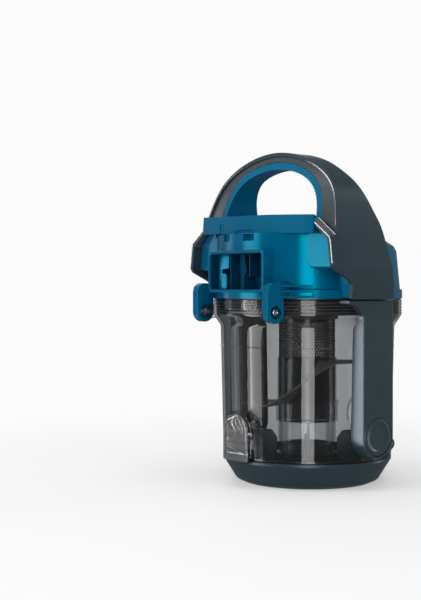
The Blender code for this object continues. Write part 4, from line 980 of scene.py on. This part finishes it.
cuts.append(prism("t_dbore", rounded(-DUCT_W + WALL, DUCT_W - WALL, DUCT_Z0 + WALL, DUCT_Z1 - WALL, 2.4), -90, -52, "Y"))
for x, hw in ((-16.8, 5.0), (10.4, 5.4)):
    cuts.append(box(f"t_win{x}", x - hw, x + hw, -90, -66.0, 187.8, 193.1, 0.3))
cuts += [bar("t_ab", 2.3, (-50, HEAD_Y, HEAD_Z), (50, HEAD_Y, HEAD_Z), 28),
         bar("t_eb", 1.6, (-18, LATCH_Y, LATCH_Z), (18, LATCH_Y, LATCH_Z), 24)]
for s in (-1, 1):  # shallow dish round each hinge pin
    cuts.append(bar(f"t_dish{s}", 5.0, (s * 42.6, HEAD_Y, HEAD_Z), (s * 46, HEAD_Y, HEAD_Z), 48))
cut(fh, *cuts)
piece(fh, "filter_housing_moulding", "filter_housing", BLUE, angle=30)
# thin black ring in the joint between bin top and head: painted shade standing for the dark gap
extra(lathe("lip", fillet([(72.6, 143.5), (74.0, 143.5), (74.3, 143.8), (74.3, 144.45), (72.6, 144.45)], [0, .2, .2, 0, 0], 3), 160),
      "head_joint_shade_ring", RUBBER, "head", angle=40)

# inside of the outlet duct: a throat lining with three straight vanes and a cross plate, in a darker copy of the blue
# as painted shade for the dim duct, and an L-shaped guide vane in the plain blue
liner = prism("liner", rounded(-DUCT_W + WALL + 0.02, DUCT_W - WALL - 0.02, DUCT_Z0 + WALL + 0.02, DUCT_Z1 - WALL - 0.02, 2.4), -73.6, -56.2, "Y")
cut(liner, prism("t_lin", rounded(-DUCT_W + WALL + 0.35, DUCT_W - WALL - 0.35, DUCT_Z0 + WALL + 0.35, DUCT_Z1 - WALL - 0.35, 2.1),
                 -80, -57.4, "Y"))
shade_vanes = [box("t_v1", -12.6, -11.6, -69.0, -57.0, DUCT_Z0 + 2.3, DUCT_Z1 - 2.3),
        box("t_v2", 1.4, 2.4, -68.0, -57.0, DUCT_Z0 + 2.3, DUCT_Z0 + 15.0),
        box("t_v3", 8.4, 9.4, -68.0, -57.0, DUCT_Z0 + 12.0, DUCT_Z1 - 2.3),
        prism("t_v4", [(-9.0, 151.5), (-1.5, 151.5), (-0.5, 158.0), (-2.5, 170.0), (-3.5, 178.0), (-9.0, 178.0)], -62.4, -61.4, "Y")]
add(liner, *shade_vanes)
# the lining and its vanes take the darker blue: painted shade of the duct's inside
extra(liner, "outlet_throat_shade_lining", BLUE_SHADE_PAINT, "head")
vane = prism("vane", [(-29.6, 151.4), (-22.4, 151.4), (-21.6, 152.6), (-21.6, 162.2), (-22.6, 163.2), (-26.0, 163.4), (-26.6, 164.4), (-26.6, 165.8),
                      (-25.8, 166.8), (-19.6, 167.2), (-19.0, 178.0), (-29.6, 178.0)], -67.4, -66.2, "Y", edge=0.2)
for v in vane.data.vertices:
    v.co.y += (v.co.x + mm(24)) * 0.13
    v.co.x += mm(2.2)
extra(vane, "outlet_guide_vane", BLUE, "head")

for side, s in (("right", 1), ("left", -1)):
    pin = bar("pin", 1.9, (s * 31.4, HEAD_Y, HEAD_Z), (s * 44.3, HEAD_Y, HEAD_Z), 36)
    hd = lathe("t_hd", [(0.0, 0.9), (1.3, 0.85), (2.0, 0.6), (2.3, 0.25), (2.3, 0.0), (0.0, 0.0)], 48)
    hd.data.transform(Matrix.Translation((mm(s * 43.3), mm(HEAD_Y), mm(HEAD_Z))) @ Matrix.Rotation(s * math.pi / 2, 4, "Y"))
    add(pin, hd)
    xc = s * 44.4
    cut(pin, box("t_x1", xc - 1, xc + 1, HEAD_Y - 1.8, HEAD_Y + 1.8, HEAD_Z - 0.35, HEAD_Z + 0.35),
        box("t_x2", xc - 1, xc + 1, HEAD_Y - 0.35, HEAD_Y + 0.35, HEAD_Z - 1.8, HEAD_Z + 1.8))
    piece(pin, f"hinge_screw_{side}", f"head_hinge_pin_{side}", STEEL)

# =============================================================== top cover
cp = [(0.0, -63.4), (20.0, -62.6), (42.0, -60.2), (58.0, -57.4), (63.5, -55.8), (64.8, -53.9), (52.8, -53.9),
      (51.8, -50.0), (51.6, 0.0), (48.0, 26.0), (38.0, 42.0), (22.0, 51.0), (0.0, 54.0)]
cp = cp + [(-x, y) for x, y in reversed(cp[1:-1])]
rad = [8, 10, 10, 3, 1.2, 0.6, 0.6, 2, 8, 12, 12, 12, 14]
rad = rad + list(reversed(rad[1:-1]))
cover = prism("cover", fillet(cp, rad, 6), COVER_Z0, COVER_Z1, "Z")
pp = [(x * 0.94, (y + 3.0) * 0.945 - 3.0) for x, y in cp if abs(x) < 53.5]
# front edge: stepped down on its left, notched, with a seam line
cut(cover, prism("t_cpk", pp, COVER_Z0 - 3, COVER_Z1 - WALL, "Z"),
    box("t_notch", -35.5, -30.0, -70, -60.2, COVER_Z0 - 1, COVER_Z0 + 7.6),
    box("t_step", -14.0, 6.0, -70, -61.9, COVER_Z0 - 1, COVER_Z0 + 2.6),
    prism("t_deck", [(x * 0.90, (y + 2) * 0.90 - 2) for x, y in cp if abs(x) < 53.5], COVER_Z1 - 0.6, COVER_Z1 + 1, "Z"))
round_edges(cover, 0.8, 3, 40)
apply(cover)
for v in cover.data.vertices:
    if v.co.y < mm(-50):
        v.co.y += (v.co.z - mm(COVER_Z0)) * 0.075
    if abs(v.co.x) > mm(12):
        v.co.z -= (v.co.x - math.copysign(mm(12), v.co.x)) * 0.034
print("cover faces", len(cover.data.polygons))
piece(cover, "top_cover_moulding", "top_cover", BLUE_COVER, angle=30)

# =============================================================== handle
fin_outline = [(13.2, 143.8), (-32.0, 143.8), (-32.4, 155.0), (-36.0, 158.0), (-51.0, 165.0), (-53.5, 168.5), (-53.5, 189.2)]
ft = spline(FIN_FRONT_TOP, 5)
rr = spline(FIN_REAR, 5)
fin_outline = fillet(fin_outline + ft[:1], [0, 0.8, 2.5, 2.5, 2.5, 2.5, 0.8, 0], 5)[:-1] + ft + rr[:-1]
shell = arch_region("shell", OUT, inset(OUT, 3.0), -60, 20)
keep(shell, prism("t_fin", fin_outline, -100, 100, "X"))
round_edges(shell, 0.7, 3, 38)
apply(shell)
piece(shell, "handle_shell_moulding", "handle_shell", SLATE, angle=30)
for side, s in (("right", 1), ("left", -1)):
    cap = fillet([(s * x, z) for x, z in [(57.2, 203.6), (60.8, 203.2), (78.6, 190.2), (78.9, 186.4), (77.2, 186.0), (76.7, 187.9), (60.9, 199.9),
                                          (57.2, 200.4)]], [0.5, 1.5, 1.5, 0.4, 0.3, 1.5, 1.0, 0.3], 4)
    extra(prism("cap", cap, -53.2, -45.2, "Y", edge=0.5), f"shoulder_cap_{side}", GUNMETAL, "head")


def front_y(z):
    for (y0, z0), (y1, z1) in zip(ft, ft[1:]):
        if z0 <= z <= z1:
            return y0 + (y1 - y0) * (z - z0) / (z1 - z0)
    return ft[-1][0]


def leg(front, rear, tip):
    ff = [(y + front, z) for y, z in spline(FIN_FRONT_TOP[1:-1], 5)]
    rb = [(y - rear, z) for y, z in spline(FIN_REAR[:5], 5)]
    return ff, rb


core_o = [(x, z) for x, z in inset(OUT, 3.3) if z > 196.0]
core_o = [(lerp_x(inset(ARCH_OUTER, 3.3), 193.8), 193.8)] + core_o
INNs = inset(INN, -5.7)
core = arch_region("core", core_o, [(59.9, 193.8)] + [(x, z) for x, z in INNs if z > 196.0], -60, 20)
ff, rb = leg(1.2, 1.2, 0)
keep(core, prism("t_leg", [(2.6, 193.8), (-43.0, 193.8)] + ff + [(-33.2, 262.0)] + rb + [(1.4, 200.0)], -100, 100, "X"))
round_edges(core, 1.6, 4, 40)
apply(core)
edge_line = [(mm(x), mm(z)) for x, z in OUT]


def depth_in(x, z):
    """Distance from a point of the arch to its outer line."""
    best = 1.0
    for (x0, z0), (x1, z1) in zip(edge_line, edge_line[1:]):
        dx, dz = x1 - x0, z1 - z0
        t = max(0.0, min(1.0, ((x - x0) * dx + (z - z0) * dz) / max(dx * dx + dz * dz, 1e-12)))
        best = min(best, math.hypot(x - x0 - t * dx, z - z0 - t * dz))
    return best


for v in core.data.vertices:
    lim = front_y(v.co.z / mm(1)) + 6.0
    if v.co.y < mm(lim) and v.co.z > mm(196):
        v.co.y -= (depth_in(abs(v.co.x), v.co.z) - mm(3.3)) * 0.055 * min(1.0, (mm(lim) - v.co.y) / mm(4))
piece(core, "handle_core_band", "handle_core", GUNMETAL, angle=30)
ff, rb = leg(0.7, 2.4, 0)
INN5 = inset(INN, -5.4)
grip = arch_region("grip", [(59.6, 193.8)] + [(x, z) for x, z in INN5 if z > 196.0], INN, -60, 20)
keep(grip, prism("t_grip", [(1.4, 193.8), (-41.8, 193.8)] + ff + [(-32.0, 262.0)] + rb + [(0.2, 200.0)], -100, 100, "X"))
round_edges(grip, 2.2, 5, 40)
apply(grip)
piece(grip, "handle_grip_liner", "handle_grip", BLUE_GRIP, angle=35)


for side, s in (("right", 1), ("left", -1)):
    line = [(x, z) for x, z in inset(OUT, 2.0) if 195.0 < z < 249.5]
    cu = bpy.data.curves.new("tr", "CURVE")
    cu.dimensions = "3D"
    cu.bevel_depth = mm(0.62)
    cu.bevel_resolution = 5
    cu.use_fill_caps = True
    spn = cu.splines.new("POLY")
    spn.points.add(len(line) - 1)
    for i, (p, (x, z)) in enumerate(zip(spn.points, line)):
        p.co = (mm(s * x), mm(front_y(z) - 0.35), mm(z), 1)
        p.radius = min(1.0, 0.25 + min(i, len(line) - 1 - i) * 0.2)
    # the right bead is silver and the left one gunmetal: the left trim is painted dark as shade, since it catches no
    # highlight
    piece(link(bpy.data.objects.new("tr", cu), True), f"handle_bead_{side}", f"handle_trim_{side}", CHROME if s > 0 else GUNMETAL)
    # bright edging round the shoulder of the side panel
    pts = [(59.0, 201.9), (60.8, 202.2), (79.5, 188.6), (80.4, 186.0), (82.3, 170.0)]
    cu = bpy.data.curves.new("sh", "CURVE")
    cu.dimensions = "3D"
    cu.bevel_depth = mm(0.45)
    cu.bevel_resolution = 4
    cu.use_fill_caps = True
    pl = fillet(pts, [0, 0.6, 2.0, 6.0, 0], 5, closed=False)
    spn = cu.splines.new("POLY")
    spn.points.add(len(pl) - 1)
    for p, (x, z) in zip(spn.points, pl):
        p.co = (mm(s * x), mm(-53.45), mm(z), 1)
    extra(link(bpy.data.objects.new("sh", cu), True), f"shoulder_bead_{side}", CHROME, "head")
    cu = bpy.data.curves.new("sr", "CURVE")
    cu.dimensions = "3D"
    cu.bevel_depth = mm(0.40)
    cu.bevel_resolution = 4
    cu.use_fill_caps = True
    pl = fillet([(57.8, 203.9), (61.0, 203.5), (78.6, 190.6)], [0, 1.5, 0], 5, closed=False)
    spn = cu.splines.new("POLY")
    spn.points.add(len(pl) - 1)
    for p, (x, z) in zip(spn.points, pl):
        p.co = (mm(s * x), mm(-46.4), mm(z), 1)
    extra(link(bpy.data.objects.new("sr", cu), True), f"shoulder_rear_bead_{side}", CHROME, "head")

# =============================================================== head latch
lt = arc(LATCH_Y, LATCH_Z, 2.7, 110, 250, 14)
latch = prism("latch", fillet([(80.2, 132.6), (81.2, 134.0), (81.2, 161.0), (80.4, 162.0), (79.0, 162.0), (78.6, 156.2)] + lt
                              + [(78.6, 149.0), (78.6, 138.0), (77.4, 135.6), (77.4, 132.6)],
                              [.3, .6, .6, .4, .4, 0] + [0] * 15 + [0, .4, .4, .3], 3), -12, 12, "X", edge=0.5)
cut(latch, bar("t_ltb", 1.6, (-18, LATCH_Y, LATCH_Z), (18, LATCH_Y, LATCH_Z), 24),
    *[box(f"t_g{i}", -9, 9, 80.85, 83, 155.4 + 1.7 * i, 156.1 + 1.7 * i, 0) for i in range(3)])
piece(latch, "head_latch_moulding", "head_latch", BLUE, angle=30)
piece(bar("ltp", 1.3, (-15.6, LATCH_Y, LATCH_Z), (15.6, LATCH_Y, LATCH_Z), 28, edge=0.25), "latch_axle", "latch_pin", STEEL)

# =============================================================== CAD nodes that stay as they are
LEFT = {"slate_plastic": SLATE, "gunmetal_plastic": GUNMETAL, "blue_plastic": BLUE, "clear_plastic": CLEAR_PART,
        "dark_plastic": DARK, "rubber": RUBBER, "steel": STEEL, "silver_trim": CHROME, "filter_paper": PAPER,
        "foam": FOAM}
for name, o in NODES.items():
    if o.hide_render:
        continue
    o.data.materials.clear()
    o.data.materials.append(LEFT[SLOT[name]])

for o in list(TOOLS.objects):
    bpy.data.objects.remove(o, do_unlink=True)
bpy.context.view_layer.update()
